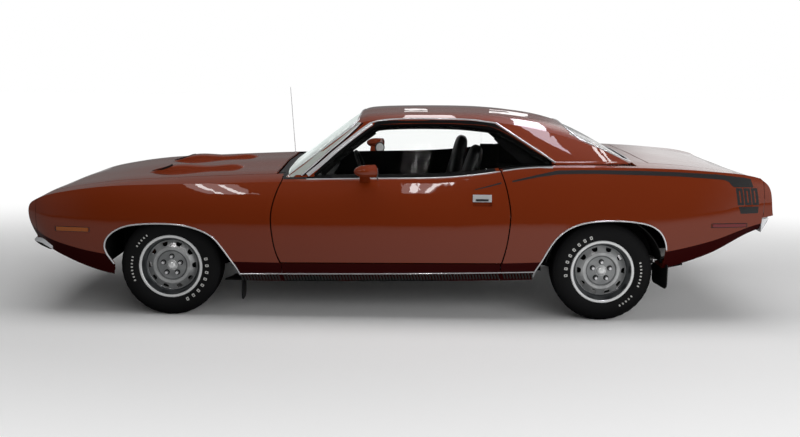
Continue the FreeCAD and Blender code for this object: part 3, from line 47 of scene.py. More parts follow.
rearAxle = (1.292, .318)
bothSides = (-1, 1)
print("frame loaded")


# a shader socket, so that maths on it reads as plain sums
class Val:
    def __init__(self, tree, socket):
        self.tree = tree
        self.socket = socket

    def node(self, kind, inputs=(), output=0, **settings):
        made = self.tree.nodes.new(kind)
        for name, value in settings.items():
            setattr(made, name, value)
        for name, value in dict(inputs).items():
            if isinstance(value, Val):
                self.tree.links.new(value.socket, made.inputs[name])
            else:
                made.inputs[name].default_value = value
        return Val(self.tree, made.outputs[output])

    def math(self, operation, *others):
        return self.node("ShaderNodeMath", enumerate((self,) + others), operation=operation)

    def __add__(self, other):
        return self.math("ADD", other)

    def __sub__(self, other):
        return self.math("SUBTRACT", other)

    def __rsub__(self, other):
        return self.node("ShaderNodeMath", {0: other, 1: self}, operation="SUBTRACT")

    def __mul__(self, other):
        return self.math("MULTIPLY", other)

    __radd__ = __add__
    __rmul__ = __mul__

    def __pow__(self, other):
        return self.math("POWER", other)

    def __gt__(self, other):
        return self.math("GREATER_THAN", other)

    def __lt__(self, other):
        return self.math("LESS_THAN", other)

    def step(self, low, high):
        return self.node("ShaderNodeMapRange", {"Value": self, "From Min": low, "From Max": high},
                         interpolation_type="SMOOTHSTEP")

    def mixColour(self, low, high):
        return self.node("ShaderNodeMix", {0: self, 6: low, 7: high}, 2, data_type="RGBA")


def colour(r, g, b):
    return (r, g, b, 1.0)


# one principled material, whose patterns read Object coordinates
class Finish:
    def __init__(self, name, base, roughness, metallic=0.0, coat=0.0, **more):
        self.material = bpy.data.materials.new(name)
        self.material.use_nodes = True
        self.tree = self.material.node_tree
        self.shader = self.tree.nodes["Principled BSDF"]
        self.place = Val(self.tree, self.tree.nodes.new("ShaderNodeTexCoord").outputs["Object"])
        self.set("Base Color", base)
        self.set("Roughness", roughness)
        self.set("Metallic", metallic)
        self.set("Coat Weight", coat)
        for key, value in more.items():
            self.set(key.replace("_", " "), value)
        self.material.diffuse_color = base

    def set(self, name, value):
        if isinstance(value, Val):
            self.tree.links.new(value.socket, self.shader.inputs[name])
        else:
            self.shader.inputs[name].default_value = value

    def noise(self, scale, detail=3.0):
        return self.place.node("ShaderNodeTexNoise", {"Vector": self.place, "Scale": scale,
                                                      "Detail": detail, "Roughness": .5})

    def axis(self, index):
        return self.place.node("ShaderNodeSeparateXYZ", {0: self.place}, index)

    def attribute(self, name):
        return self.place.node("ShaderNodeAttribute", (), 2, attribute_name=name)

    def bump(self, height, strength, distance):
        self.set("Normal", self.place.node("ShaderNodeBump", {"Height": height, "Strength": strength,
                                                              "Distance": distance}))


# a plain colour with grain: spread is how far the colour strays, depth the height of the bump in metres
def speckled(name, base, roughness, spread=.12, scale=220.0, depth=.0003, **more):
    finish = Finish(name, base, roughness, **more)
    grain = finish.noise(scale)
    dark = tuple(c * (1 - spread) for c in base[:3]) + (1.0,)
    light = tuple(min(1.0, c * (1 + spread)) for c in base[:3]) + (1.0,)
    finish.set("Base Color", grain.mixColour(dark, light))
    finish.set("Roughness", grain * (roughness * .3) + roughness * .85)
    if depth:
        finish.bump(grain, .4, depth)
    return finish.material


# lacquer with fine flake, with painted shade: darker and without gloss where a face looks down
def bodyPaint():
    finish = Finish("burntOrange", colour(.2, .03, .006), .5, metallic=.1, coat=1.0,
                    Specular_IOR_Level=.15)
    finish.set("Coat Roughness", .015)
    flake = finish.noise(900.0, 1.0)
    broad = finish.noise(1.5, 2.0)
    tone = flake * .25 + broad * .1 + .32
    down = finish.attribute("down")
    top = tone.mixColour(colour(.150, .0160, .0006), colour(.225, .029, .0016))
    # painted shade: faces that look down turn a dark red
    finish.set("Base Color", down.mixColour(top, colour(.036, .0008, .0006)))
    finish.set("Coat Weight", 1.0 - down * .8)
    return finish.material


# chrome for the bumpers, with painted shade: black where a face looks down
def bumperChrome():
    finish = Finish("bumperChrome", colour(.8, .8, .8), .12, metallic=.12, coat=.6)
    grain = finish.noise(30.0)
    bright = grain.mixColour(colour(.82, .83, .86), colour(.92, .93, .95))
    finish.set("Base Color", finish.attribute("down").mixColour(bright, colour(.010, .010, .011)))
    finish.set("Roughness", grain * .04 + .1)
    return finish.material


materials = {
    "body": bodyPaint(),
    "bumper": bumperChrome(),
    "chrome": speckled("chrome", colour(.86, .86, .88), .12, .04, 30.0, 0, metallic=.5),
    "black": speckled("satinBlack", colour(.016, .016, .017), .45),
    "rubberSeal": speckled("sealRubber", colour(.004, .004, .004), .7, Specular_IOR_Level=.1),
    "gill": speckled("gillBlack", colour(.030, .032, .030), .4),
    "stripe": speckled("stripeBlack", colour(.012, .011, .011), .5, .1, 400.0, 0, coat=.2),
    "under": speckled("underBlack", colour(.006, .006, .006), .7, Specular_IOR_Level=.2),
    "rubber": speckled("tyreRubber", colour(.0065, .0065, .007), .72, .15, 300.0, .0002,
                       Specular_IOR_Level=.25),
    "flap": speckled("flapRubber", colour(.006, .006, .0065), .6),
    "letter": speckled("tyreWhite", colour(.62, .62, .60), .6, .06, 200.0, 0),
    "iron": speckled("engineIron", colour(.16, .05, .02), .5),
    "steel": speckled("bareSteel", colour(.34, .33, .32), .35, .1, 60.0, 0, metallic=.9),
    "vinyl": speckled("blackVinyl", colour(.006, .006, .0065), .42, .2, 260.0, .0006,
                      Specular_IOR_Level=.3),
    # the cabin's black trim, darker than the seats' vinyl: its own black with painted shade
    "inside": speckled("insideBlack", colour(.003, .003, .0033), .6, .15, 300.0, .0003,
                       Specular_IOR_Level=.08),
    "grille": speckled("grilleBlack", colour(.03, .03, .03), .4),
    "red": speckled("redLens", colour(.16, .008, .010), .2, .1, 90.0, .0002, coat=.3),
    "amber": speckled("amberLens", colour(.36, .085, .004), .2, .1, 90.0, .0002, coat=.3),
    "screenEdge": speckled("screenEdge", colour(.40, .43, .40), .2, .05, 40.0, 0, coat=1.0),
    # painted reflection: the mirror glass is a flat pale colour
    "mirror": speckled("mirrorPaintedReflection", colour(.90, .93, .92), .2, .03, 30.0, 0, metallic=.05),
}


# clear glass; its sheen is a painted reflection, a pale glow that it takes on where it is seen edge on
def glassFinish(name, tint, roughness, paintedSheen=0.0):
    finish = Finish(name, tint, roughness)
    finish.set("Transmission Weight", 1.0)
    finish.set("IOR", 1.15)
    finish.set("Roughness", finish.noise(3.0) * .003 + roughness)
    if paintedSheen:
        # painted reflection: an emitted pale glow that grows towards edge on
        facing = finish.place.node("ShaderNodeLayerWeight", {"Blend": .5}, 1)
        glow = (facing ** 5.0 * paintedSheen).mixColour(colour(0, 0, 0), colour(.86, .95, .92))
        finish.set("Emission Color", glow)
        finish.set("Emission Strength", 1.0)
    return finish.material


materials["glass"] = glassFinish("windowGlass", colour(.975, .985, .98), .0)
# the windshield takes the painted reflection
materials["screen"] = glassFinish("screenGlass", colour(.975, .985, .98), .0, .75)
materials["lens"] = glassFinish("lampLens", colour(.95, .95, .96), .05)


# rings by radius from the axle: bright trim ring and cap, grey face, darker well, dark line between; the
# dark line and the dark barrel between face and trim ring are painted shade
def wheelSilver(name, centre):
    finish = Finish(name, colour(.5, .5, .5), .3, metallic=.6, coat=.3)
    x, z = finish.axis(0) - centre[0], finish.axis(2) - centre[1]
    radius = (x * x + z * z) ** .5
    bright = (radius > .184).math("MAXIMUM", radius < .034)
    # painted shade: the barrel past the face's edge stays dark, and a dark line runs in the groove round
    # the well
    face = (radius < .161) * .9 - (radius < .092) * .42 - (radius > .090) * (radius < .0965) * .6
    grain = finish.noise(150.0)
    mottled = finish.noise(14.0, 2.0).step(.35, .65) * .3 + .7
    silver = (face * mottled).mixColour(colour(.06, .065, .07), colour(.66, .67, .67))
    finish.set("Base Color", bright.mixColour(silver, colour(.93, .94, .94)))
    finish.set("Roughness", grain * .06 + .26 - bright * .1)
    finish.set("Metallic", bright * -.3 + .55)
    return finish.material


materials["rimFront"] = wheelSilver("wheelFront", frontAxle)
materials["rimRear"] = wheelSilver("wheelRear", rearAxle)

# which CAD nodes show each finish
nodeFinish = {
    "body": ["nose_panel", "fenders", "quarters", "rockers", "hood", "trunk_lid", "rear_deck",
             "tail_panel", "roof", "door_left", "door_right", "mirror_left", "mirror_right"],
    "black": ["cowl"],
    "chrome": ["door_handle_left", "door_handle_right", "antenna"],
    "bumper": ["bumper_front", "bumper_rear"],
    "under": ["front_suspension", "rear_axle", "floor_pan", "wheelhouses", "knuckle_left",
              "knuckle_right"],
    "iron": ["engine"],
    "steel": ["exhaust", "fuel_tank"],
    "flap": ["mud_flaps"],
    "vinyl": ["front_seats", "rear_seat"],
    # the cabin black carries painted shade
    "inside": ["dashboard", "steering_wheel", "side_trim"],
    "grille": ["grille"],
    "glass": ["fixed_glass", "door_glass_left", "door_glass_right"],
    "lens": ["headlamps"],
    "red": ["tail_lamps"],
    "amber": ["amber_lamps"],
    "rimFront": ["rim_front_left", "rim_front_right"],
    "rimRear": ["rim_rear_left", "rim_rear_right"],
    "rubber": ["tyre_front_left", "tyre_front_right", "tyre_rear_left", "tyre_rear_right"],
}
for key, names in nodeFinish.items():
    for name in names:
        nodes[name].data.materials.clear()
        nodes[name].data.materials.append(materials[key])
for node in nodes.values():
    node.data.polygons.foreach_set("use_smooth", [True] * len(node.data.polygons))
print("finishes given")
mergeDistance = 1e-6
stripStep = .02  # between the cross sections of a strip on the side
rayFrom = {"side": 1.3, "top": 1.6}  # outside the body


def sideName(side):
    return "Left" if side < 0 else "Right"


# door_SIDE is door_left or door_right
def sideBody(body, side):
    return body.replace("SIDE", sideName(side).lower())


# edges stay sharp where they are open or turn by more than the angle
def smoothByAngle(obj, angle):
    work = bmesh.new()
    work.from_mesh(obj.data)
    for edge in work.edges:
        sharp = len(edge.link_faces) != 2 or edge.calc_face_angle(0.0) > math.radians(angle)
        edge.smooth = not sharp
    for face in work.faces:
        face.smooth = True
    work.to_mesh(obj.data)
    work.free()


def newObject(work, name, material):
    mesh = bpy.data.meshes.new(name)
    work.to_mesh(mesh)
    work.free()
    mesh.materials.append(material)
    obj = bpy.data.objects.new(name, mesh)
    bpy.context.scene.collection.objects.link(obj)
    return obj


# closes a piece: merged doubles, faces outward, a finish, and the body that it moves with
def finishedMesh(work, name, finish, body, angle=35.0):
    bmesh.ops.remove_doubles(work, verts=work.verts, dist=mergeDistance)
    bmesh.ops.recalc_face_normals(work, faces=work.faces)
    obj = newObject(work, name, materials[finish])
    smoothByAngle(obj, angle)
    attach(obj, body)
    return obj


# a ray tree over CAD nodes, so that trim lies on the panels
def treeOf(*names):
    points, faces = [], []
    for name in names:
        start = len(points)
        mesh = nodes[name].data
        points += [v.co.copy() for v in mesh.vertices]
        faces += [[start + i for i in p.vertices] for p in mesh.polygons]
    return BVHTree.FromPolygons(points, faces)


sideTree = treeOf("fenders", "quarters", "rockers", "door_left", "door_right", "nose_panel",
                  "tail_panel", "rear_deck", "hood")


def ramp(table, x):
    for (x0, v0), (x1, v1) in zip(table, table[1:]):
        if x <= x1:
            return v0 + (v1 - v0) * (x - x0) / (x1 - x0)
    return table[-1][1]


def onSide(tree, x, z, side):
    place, normal, _, _ = tree.ray_cast(Vector((x, side * rayFrom["side"], z)), Vector((0, -side, 0)))
    if normal is not None and normal.y * side < 0:
        normal = -normal
    return place, normal


def onTop(tree, x, y):
    place, normal, _, _ = tree.ray_cast(Vector((x, y, rayFrom["top"])), Vector((0, 0, -1)))
    if normal is not None and normal.z < 0:
        normal = -normal
    return place, normal


def denser(points, step):
    out = []
    for a, b in zip(points, points[1:]):
        a, b = Vector(a), Vector(b)
        count = max(1, int((b - a).length / step))
        out += [a.lerp(b, i / count) for i in range(count)]
    return out + [Vector(points[-1])]


# cuts a line's corners once in each round, so that it bends instead of breaking
def rounded(points, rounds):
    pts = [Vector(p) for p in points]
    for _ in range(rounds):
        cut = [pts[0]]
        for a, b in zip(pts, pts[1:]):
            cut += [a.lerp(b, .25), a.lerp(b, .75)]
        pts = cut + [pts[-1]]
    return pts


# cross section of a moulding: across in half widths, out in rises
barSection = ((-1, -.4), (-1, .35), (-.7, .8), (-.25, 1), (.25, 1), (.7, .8), (1, .35), (1, -.4))


# runs the section along what the rays hit, as pairs of place and normal; those that missed drop out
def sweep(work, hits, halfWidth, rise, closed=False, lift=0.0):
    hits = [(place + normal * lift, normal) for place, normal in hits if place is not None]
    rings = []
    count = len(hits)
    for i, (place, normal) in enumerate(hits):
        before = hits[i - 1][0] if i or closed else place
        after = hits[(i + 1) % count][0] if i < count - 1 or closed else place
        along = (after - before).normalized()
        across = normal.cross(along).normalized()
        out = along.cross(across).normalized()
        rings.append([work.verts.new(place + across * (a * halfWidth) + out * (b * rise))
                      for a, b in barSection])
    size = len(barSection)
    pairs = list(zip(rings, rings[1:])) + ([(rings[-1], rings[0])] if closed else [])
    for one, two in pairs:
        for k in range(size):
            work.faces.new((one[k], one[(k + 1) % size], two[(k + 1) % size], two[k]))
    if not closed:
        work.faces.new(rings[0])
        work.faces.new(list(reversed(rings[-1])))


# a moulding along an outline in x and z, on both sides of the car
def sideStrip(name, outline, body, halfWidth, rise, finish="chrome", tree=None,
              lift=0.0, smoothing=2):
    line = denser(rounded([(x, 0, z) for x, z in outline], smoothing), stripStep)
    for side in bothSides:
        work = bmesh.new()
        hits = [onSide(tree or sideTree, point.x, point.z, side) for point in line]
        sweep(work, hits, halfWidth, rise, lift=lift)
        finishedMesh(work, name + sideName(side), finish, sideBody(body, side))


# a black rubber strip beside glass or a moulding
def sealStrip(name, outline, halfWidth, rise, tree, lift=0.0):
    sideStrip(name, outline, "root", halfWidth, rise, "rubberSeal", tree, lift, 1)


# outlines are kept as shares of the half length and the height
def shared(points):
    return [(a * halfLength, b * height) for a, b in points]


trim = {"lipHalf": .0048, "lipRise": .006, "lipOut": .005, "sillHalf": .0038, "sillRise": .006,
        "railHalf": .0045, "railRise": .007, "frameHalf": .0062, "pillarHalf": .0127, "pillarRise": .005,
        "screenHalf": .0043, "screenRise": .004, "lampHalf": .0022, "darkHalf": .005, "darkRise": .0022,
        "darkBehind": .0145}
frontArch = shared(((-.742, .195), (-.748, .226), (-.765, .276), (-.778, .325), (-.7795, .349),
                    (-.7745, .382), (-.758, .415), (-.728, .445), (-.687, .458), (-.636, .462),
                    (-.586, .46), (-.548, .448), (-.511, .424), (-.486, .392), (-.461, .329),
                    (-.436, .259), (-.4255, .214)))
rearArch = shared(((.358, .215), (.364, .252), (.38, .305), (.402, .385), (.423, .434), (.457, .477),
                   (.499, .498), (.555, .505), (.598, .503), (.65, .491), (.679, .464), (.694, .43),
                   (.702, .393), (.7045, .365)))
sillLine = ((-1.005, .283), (-.9, .287), (-.4, .294), (.009, .300), (.5, .312), (.853, .322))
# first and last x, lowest and highest z of the black frame round each marker lamp
lampFrames = {"amberFrame": (-2.166, -1.942, .545, .573), "redFrame": (1.950, 2.184, .622, .646)}


def movedOut(points, centre, out):
    moved = []
    for x, z in points:
        radius = math.dist((x, z), centre)
        moved.append((x + out * (x - centre[0]) / radius, z + out * (z - centre[1]) / radius))
    return moved


for name, arch, axle in (("frontLip", frontArch, frontAxle), ("rearLip", rearArch, rearAxle)):
    sideStrip(name, movedOut(arch, axle, trim["lipOut"]), "root", trim["lipHalf"], trim["lipRise"])
sideStrip("sillStrip", sillLine, "root", trim["sillHalf"], trim["sillRise"])
for name, (x0, x1, z0, z1) in lampFrames.items():
    sideStrip(name, ((x0, z0), (x1, z0), (x1, z1), (x0, z1), (x0, z0)), "root", trim["lampHalf"],
              trim["lampHalf"], "black", smoothing=0)
print("side mouldings made")

# the slanted ribs under the sill moulding
gills = {"from": -.998, "to": .86, "pitch": .0195, "top": .008, "drop": .034, "lean": .011,
         "half": .0052, "rise": .007}


def makeGills(side):
    work = bmesh.new()
    x = gills["from"]
    while x < gills["to"]:
        top = ramp(sillLine, x) - gills["top"]
        ends = [onSide(sideTree, x + share * gills["lean"], top - share * gills["drop"], side)
                for share in (0, .5, 1)]
        if all(place is not None for place, _ in ends):
            sweep(work, ends, gills["half"], gills["rise"])
        x += gills["pitch"]
    finishedMesh(work, "gills" + sideName(side), "gill", "root")


for side in bothSides:
    makeGills(side)
print("gills made")

# where the belt runs, as shares of its half width, and the strips on it from the outside in:
# name, how far out, half width, rise, finish, slot
beltShares = ((-.36, .875), (-.12, .876), (.16, .876), (.36, .888), (.548, .9), (.72, .89))
belt = {"doorFrom": -.585, "split": .632, "end": .955, "doorGap": .003, "quarterGap": .012, "step": .03}
beltStrips = (("belt", .013, .0045, .006, "chrome", "chrome"),
              ("beltSeal", -.006, .0145, .0012, "rubberSeal", "black_paint"),
              ("beltInner", -.032, .0145, .0012, "rubberSeal", "black_paint"),
              ("beltLip", -.057, .0135, .0012, "rubberSeal", "black_paint"))


def topStrip(name, line, body, halfWidth, rise, finish, slotName):
    for side in bothSides:
        work = bmesh.new()
        sweep(work, [onTop(lowTree, x, side * y) for x, y in line], halfWidth, rise)
        finishedMesh(work, name + sideName(side), finish, sideBody(body, side))


def beltLine(x0, x1, out):
    count = int((x1 - x0) / belt["step"])
    xs = [x0 + (x1 - x0) * i / count for i in range(count + 1)]
    return [(x, ramp(beltShares, x / halfLength) * beltHalf + out) for x in xs]


lowTree = treeOf("fenders", "quarters", "door_left", "door_right", "cowl", "rear_deck")
for name, out, *look in beltStrips:
    onDoor = beltLine(belt["doorFrom"], belt["split"] - belt["doorGap"], out)
    topStrip(name + "Door", onDoor, "door_SIDE", *look)
    if name != "beltLip":  # the quarter has no lip
        onQuarter = beltLine(belt["split"] + belt["quarterGap"], belt["end"], out)
        topStrip(name + "Quarter", onQuarter, "root", *look)

# bright and black strips round the side windows
roofTree = treeOf("roof")
pillarLine = ((-.584, .906), (-.491, .981), (-.413, 1.052), (-.310, 1.134), (-.232, 1.195),
              (-.184, 1.226))
railLine = ((-.185, 1.232), (-.133, 1.246), (-.009, 1.2542), (.15, 1.2572), (.32, 1.258),
            (.45, 1.2555), (.53, 1.2475), (.612, 1.237))
rearLine = ((.612, 1.237), (.763, 1.1415), (.90, 1.056), (.984, .999))
screenLine = ((-.623, .903), (-.535, .979), (-.458, 1.05), (-.356, 1.133), (-.257, 1.228))
openingLine = ((-.536, .905), (-.44, 1.0), (-.38, 1.05), (-.316, 1.1), (-.25, 1.15), (-.18, 1.2),
               (-.13, 1.218), (.016, 1.226), (.15, 1.229), (.34, 1.229), (.456, 1.221), (.56, 1.211),
               (.62, 1.2), (.724, 1.15), (.808, 1.1), (.89, 1.05), (.955, 1.004))
sideStrip("pillarTrim", pillarLine, "root", trim["pillarHalf"], trim["pillarRise"], tree=roofTree,
          smoothing=1)
sideStrip("dripRail", railLine, "root", trim["railHalf"], trim["railRise"], tree=roofTree, smoothing=1)
sideStrip("quarterFrame", rearLine, "root", trim["frameHalf"], trim["railRise"], tree=roofTree,
          smoothing=0)
sideStrip("screenSide", screenLine, "root", trim["screenHalf"], trim["screenRise"], tree=roofTree,
          smoothing=1)
darkLine = [(x + trim["darkBehind"], z) for x, z in screenLine]
sealStrip("pillarDark", darkLine, trim["darkHalf"], trim["darkRise"], roofTree)


# the opening's line, moved towards its middle
def insideLine(points, inward, centre=(.2, 1.0)):
    out = []
    for i, (x, z) in enumerate(points):
        before, after = points[max(i - 1, 0)], points[min(i + 1, len(points) - 1)]
        along = Vector((after[0] - before[0], after[1] - before[1])).normalized()
        across = Vector((along.y, -along.x))
        if across.dot(Vector((centre[0] - x, centre[1] - z))) < 0:
            across = -across
        out.append((x + across.x * inward, z + across.y * inward))
    return out


glassTree = treeOf("door_glass_left", "door_glass_right", "fixed_glass")
# line, how far in from it, half width, rise, what the seal lies on, and how far above that
seals = {"windowSeal": (openingLine, .0145, .0155, .003, glassTree, -.014),
         "pillarSeal": (openingLine[:6], .0305, .011, .003, glassTree, -.014),
         "openingSeal": (openingLine, -.006, .0125, .002, roofTree, -.011),
         "pillarEdge": (openingLine[:7], -.005, .0065, .0022, roofTree)}
for name, (line, inward, *sizes) in seals.items():
    sealStrip(name, insideLine(line, inward), *sizes)


# half width and rise of the frames round the windshield and the backlight
windowFrame = {"step": .04, "screen": (.0035, .004), "back": (.006, .006)}


# a bright strip laid from above, along corners in x and y
def planStrip(name, corners, halfWidth, rise, closed=True):
    line = denser([(x, y, 0) for x, y in corners + corners[:1] * closed], windowFrame["step"])
    line = line[:-1] if closed else line
    work = bmesh.new()
    sweep(work, [onTop(fullTree, point.x, point.y) for point in line], halfWidth, rise, closed)
    finishedMesh(work, name, "chrome", "root")


def mirroredPath(leftPoints):
    return leftPoints + [(x, -y) for x, y in reversed(leftPoints)]


fullTree = treeOf("roof", "cowl", "fenders", "rear_deck", "quarters", "trunk_lid", "hood", "door_left",
                  "door_right")
screenCorners = mirroredPath([(-.478, -.708), (-.328, -.658), (-.288, -.63), (-.272, -.56)])
backCorners = mirroredPath([(1.088, -.50), (1.15, -.612), (1.36, -.664), (1.482, -.672)])
planStrip("screenFrame", screenCorners, *windowFrame["screen"], closed=False)
planStrip("backlightFrame", backCorners, *windowFrame["back"])
print("window mouldings made")

# thin painted or black areas that lie on the panels
patch = {"lift": .0012, "nearY": .66}


# points at even steps along a line in x and z
def evenPoints(outline, count):
    line = [Vector((x, 0, z)) for x, z in outline]
    length = sum((b - a).length for a, b in zip(line, line[1:]))
    points = []
    for i in range(count):
        want = length * i / (count - 1)
        for a, b in zip(line, line[1:]):
            run = (b - a).length
            if want <= run + 1e-9:
                points.append(a.lerp(b, want / run))
                break
            want -= run
        else:
            points.append(line[-1])
    return points


def sidePatch(name, top, bottom, body, finish, rows=3, step=.02, tree=None):
    high = denser([(x, 0, z) for x, z in top], step)
    low = evenPoints(bottom, len(high))
    for side in bothSides:
        work = bmesh.new()
        grid = []
        for a, b in zip(high, low):
            column = []
            for row in range(rows + 1):
                spot = a.lerp(b, row / rows)
                place, normal = onSide(tree or sideTree, spot.x, spot.z, side)
                if place is None and tree:  # past the panel's edge
                    near = Vector((spot.x, side * patch["nearY"], spot.z))
                    place, normal, _, _ = tree.find_nearest(near)
                    normal = normal if normal.y * side > 0 else -normal
                if place is None:
                    break
                column.append(work.verts.new(place + normal * patch["lift"]))
            if len(column) == rows + 1:
                grid.append(column)
        for one, two in zip(grid, grid[1:]):
            for row in range(rows):
                work.faces.new((one[row], one[row + 1], two[row + 1], two[row]))
        obj = finishedMesh(work, name + sideName(side), finish, sideBody(body, side))
        obj.visible_shadow = False


# the windshield's curved edge, and black bands between the glass and the roof's mouldings
sidePatch("screenWrap", ((-.735, .893), (-.724, .905), (-.616, .982), (-.520, 1.055), (-.410, 1.137),
                         (-.274, 1.232)),
          ((-.638, .893), (-.630, .903), (-.542, .979), (-.465, 1.05), (-.363, 1.133), (-.258, 1.229)),
          "root", "screenEdge", tree=roofTree)
sideStrip("sailSeam", ((.962, .9965), (1.1, .9975), (1.3, .9995), (1.485, 1.0005)), "root", .0105,
          .0016, "body", tree=roofTree, lift=-.0005, smoothing=0)
sidePatch("headerBand", ((-.165, 1.232), (-.133, 1.241), (-.009, 1.2495), (.15, 1.2525), (.32, 1.253),
                         (.45, 1.251), (.53, 1.243), (.600, 1.234)),
          ((-.182, 1.2), (-.13, 1.2195), (.016, 1.229), (.152, 1.2315), (.25, 1.233), (.35, 1.2325),
           (.45, 1.228), (.544, 1.2225), (.575, 1.2165)),
          "root", "rubberSeal", tree=roofTree)
sidePatch("quarterBand", ((.600, 1.234), (.755, 1.1375), (.892, 1.052), (.976, .999)),
          ((.575, 1.2165), (.622, 1.202), (.668, 1.182), (.726, 1.152), (.810, 1.102), (.892, 1.052),
           (.966, 1.002)), "root", "rubberSeal", tree=roofTree)

# the stripe's pieces: body, upper line, lower line
stripes = {
    "stripeDoor": ("door_SIDE", ((.467, .843), (.56, .868), (.632, .889)),
                   ((.467, .838), (.56, .860), (.632, .879))),
    "stripeFine": ("root", ((.700, .899), (.855, .936), (.983, .964)),
                   ((.700, .889), (.855, .921), (.983, .940))),
    "stripeThick": ("root", ((.980, .964), (1.12, .968), (1.24, .969), (1.487, .968), (1.735, .961),
                             (1.983, .949), (2.076, .938), (2.151, .930), (2.200, .921), (2.214, .872)),
                    ((.980, .940), (1.12, .945), (1.24, .946), (1.487, .942), (1.733, .936),
                     (1.919, .924), (2.030, .916), (2.058, .902), (2.082, .872), (2.213, .870))),
    "stripeFoot": ("root", ((2.119, .752), (2.250, .753)), ((2.134, .708), (2.248, .710)))}
# three upright figures of four bars each, slanted as the stripe's end is
figures = {"count": 3, "from": 2.097, "pitch": .0485, "lean": .014, "foot": .768, "tall": .106}
figureBars = ((0, .0175, .762, .866), (.0255, .043, .762, .866), (.0175, .0255, .762, .778),
              (.0175, .0255, .850, .866))
for name, (body, high, low) in stripes.items():
    sidePatch(name, high, low, body, "stripe")
for index in range(figures["count"]):
    left = figures["from"] + index * figures["pitch"] + figures["lean"]
    for part, (x0, x1, z0, z1) in enumerate(figureBars):
        low, high = ((z - figures["foot"]) / figures["tall"] * -figures["lean"] for z in (z0, z1))
        sidePatch("figure%d%d" % (index, part), ((left + x0 + high, z1), (left + x1 + high, z1)),
                  ((left + x0 + low, z0), (left + x1 + low, z0)), "root", "stripe",
                  rows=2, step=.01)
print("stripes made")

# weave is the tread's zigzag; rows of the marks are count, first angle, span, radius, half heights
# and half widths, and whether a mark is a plain bar instead of a ring
tyre = {"outer": .318, "segments": 144, "weave": .0022, "crown": .0028, "treadHalf": .08,
        "grooveDepth": .0075, "grooveSlope": .0008, "markOut": .1062, "markRise": .0022}
tyreWall = ((.086, .1915), (.0925, .197), (.0985, .206), (.1035, .220), (.1068, .236), (.1078, .250),
            (.1072, .262), (.1052, .275), (.1015, .288), (.0965, .298), (.0915, .3052),
            (.0895, .3052), (.0862, .3112))
treadRibs = ((.079, .0735), (.0460, .0405), (.0130, .0075), (-.0075, -.0130), (-.0405, -.0460),
             (-.0735, -.079))
markRows = ((8, -63, 76, .2335, .011, .0085, False), (8, 166, 36, .2445, .0065, .0045, True),
            (5, 126, 22, .2445, .0065, .0045, True))
markCorners = ((-1, -.7), (-.7, -1), (.7, -1), (1, -.7), (1, .7), (.7, 1), (-.7, 1), (-1, .7))


# y from the tyre's middle, radius, and how far the zigzag moves the point
def tyreProfile(sign):
    out = [(a, b, 0) for a, b in tyreWall]
    for a, b in treadRibs:
        weave = tyre["weave"] * sign
        top = tyre["outer"] - tyre["crown"] * (abs((a + b) / 2) / tyre["treadHalf"]) ** 2
        low = top - tyre["grooveDepth"]
        out += [(a, top, weave), (a - tyre["grooveSlope"], low, weave),
                (b + tyre["grooveSlope"], low, weave), (b, top, weave)]
    out += [(-a, b, 0) for a, b in reversed(tyreWall)]
    return out


def makeTyre(name, axle, side, node, body):
    work = bmesh.new()
    rings = []
    for i in range(tyre["segments"]):
        turn = 2 * math.pi * i / tyre["segments"]
        ring = []
        for a, r, weave in tyreProfile(1 if i % 4 < 2 else -1):
            ring.append(work.verts.new((axle[0] + r * math.cos(turn), side * halfTrack + a + weave,
                                        axle[1] + r * math.sin(turn))))
        rings.append(ring)
    for one, two in zip(rings, rings[1:] + rings[:1]):
        for k in range(len(one) - 1):
            work.faces.new((one[k], one[k + 1], two[k + 1], two[k]))
        work.faces.new((one[-1], one[0], two[0], two[-1]))
    obj = finishedMesh(work, name, "rubber", body, angle=40)
    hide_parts(node)


# plain rings and bars where the real tyre has lettering
def makeTyreMarks(name, axle, side, phase, body):
    if side > 0:
        phase = math.pi - phase
    work = bmesh.new()
    lift = Vector((0, side * tyre["markRise"], 0))
    for count, first, span, radius, tallHalf, wideHalf, plain in markRows:
        for i in range(count):
            spot = math.radians(first + i * span / (count - 1)) * (-side) + phase
            outward = Vector((math.cos(spot), 0, math.sin(spot)))
            around = Vector((-math.sin(spot), 0, math.cos(spot)))
            base = Vector((axle[0], side * (halfTrack + tyre["markOut"]), axle[1])) + outward * radius
            loops = []
            for wide, high in ((1.0, 1.0), (.42, .38)):
                loops.append([base + around * (wideHalf * wide * a) + outward * (tallHalf * high * b)
                              for a, b in markCorners])
            outer = [work.verts.new(p + lift) for p in loops[0]]
            foot = [work.verts.new(p - lift) for p in loops[0]]
            for k in range(8):
                work.faces.new((foot[k], foot[(k + 1) % 8], outer[(k + 1) % 8], outer[k]))
            if plain:
                work.faces.new(outer)
                continue
            inner = [work.verts.new(p + lift) for p in loops[1]]
            for k in range(8):
                work.faces.new((outer[k], outer[(k + 1) % 8], inner[(k + 1) % 8], inner[k]))
    finishedMesh(work, name + "Marks", "letter", body, angle=20)


# the rear wheels' marks are turned from the front ones
for endName, axle, phase in (("front", frontAxle, 0.0), ("rear", rearAxle, math.radians(173))):
    for side in bothSides:
        name = endName + "Tyre" + sideName(side)
        node, body = (sideBody("%s_%s_SIDE" % (word, endName), side) for word in ("tyre", "wheel"))
        makeTyre(name, axle, side, node, body)
        makeTyreMarks(name, axle, side, phase, body)
print("tyres made")

seat = {"y": .400, "fill": .8, "segments": 40, "backFoot": .38, "backTall": .6,
        "backLean": {-1: -.012, 1: -.062}}
pleat = {"across": .62, "low": .9, "swell": .1, "turns": 11.0}
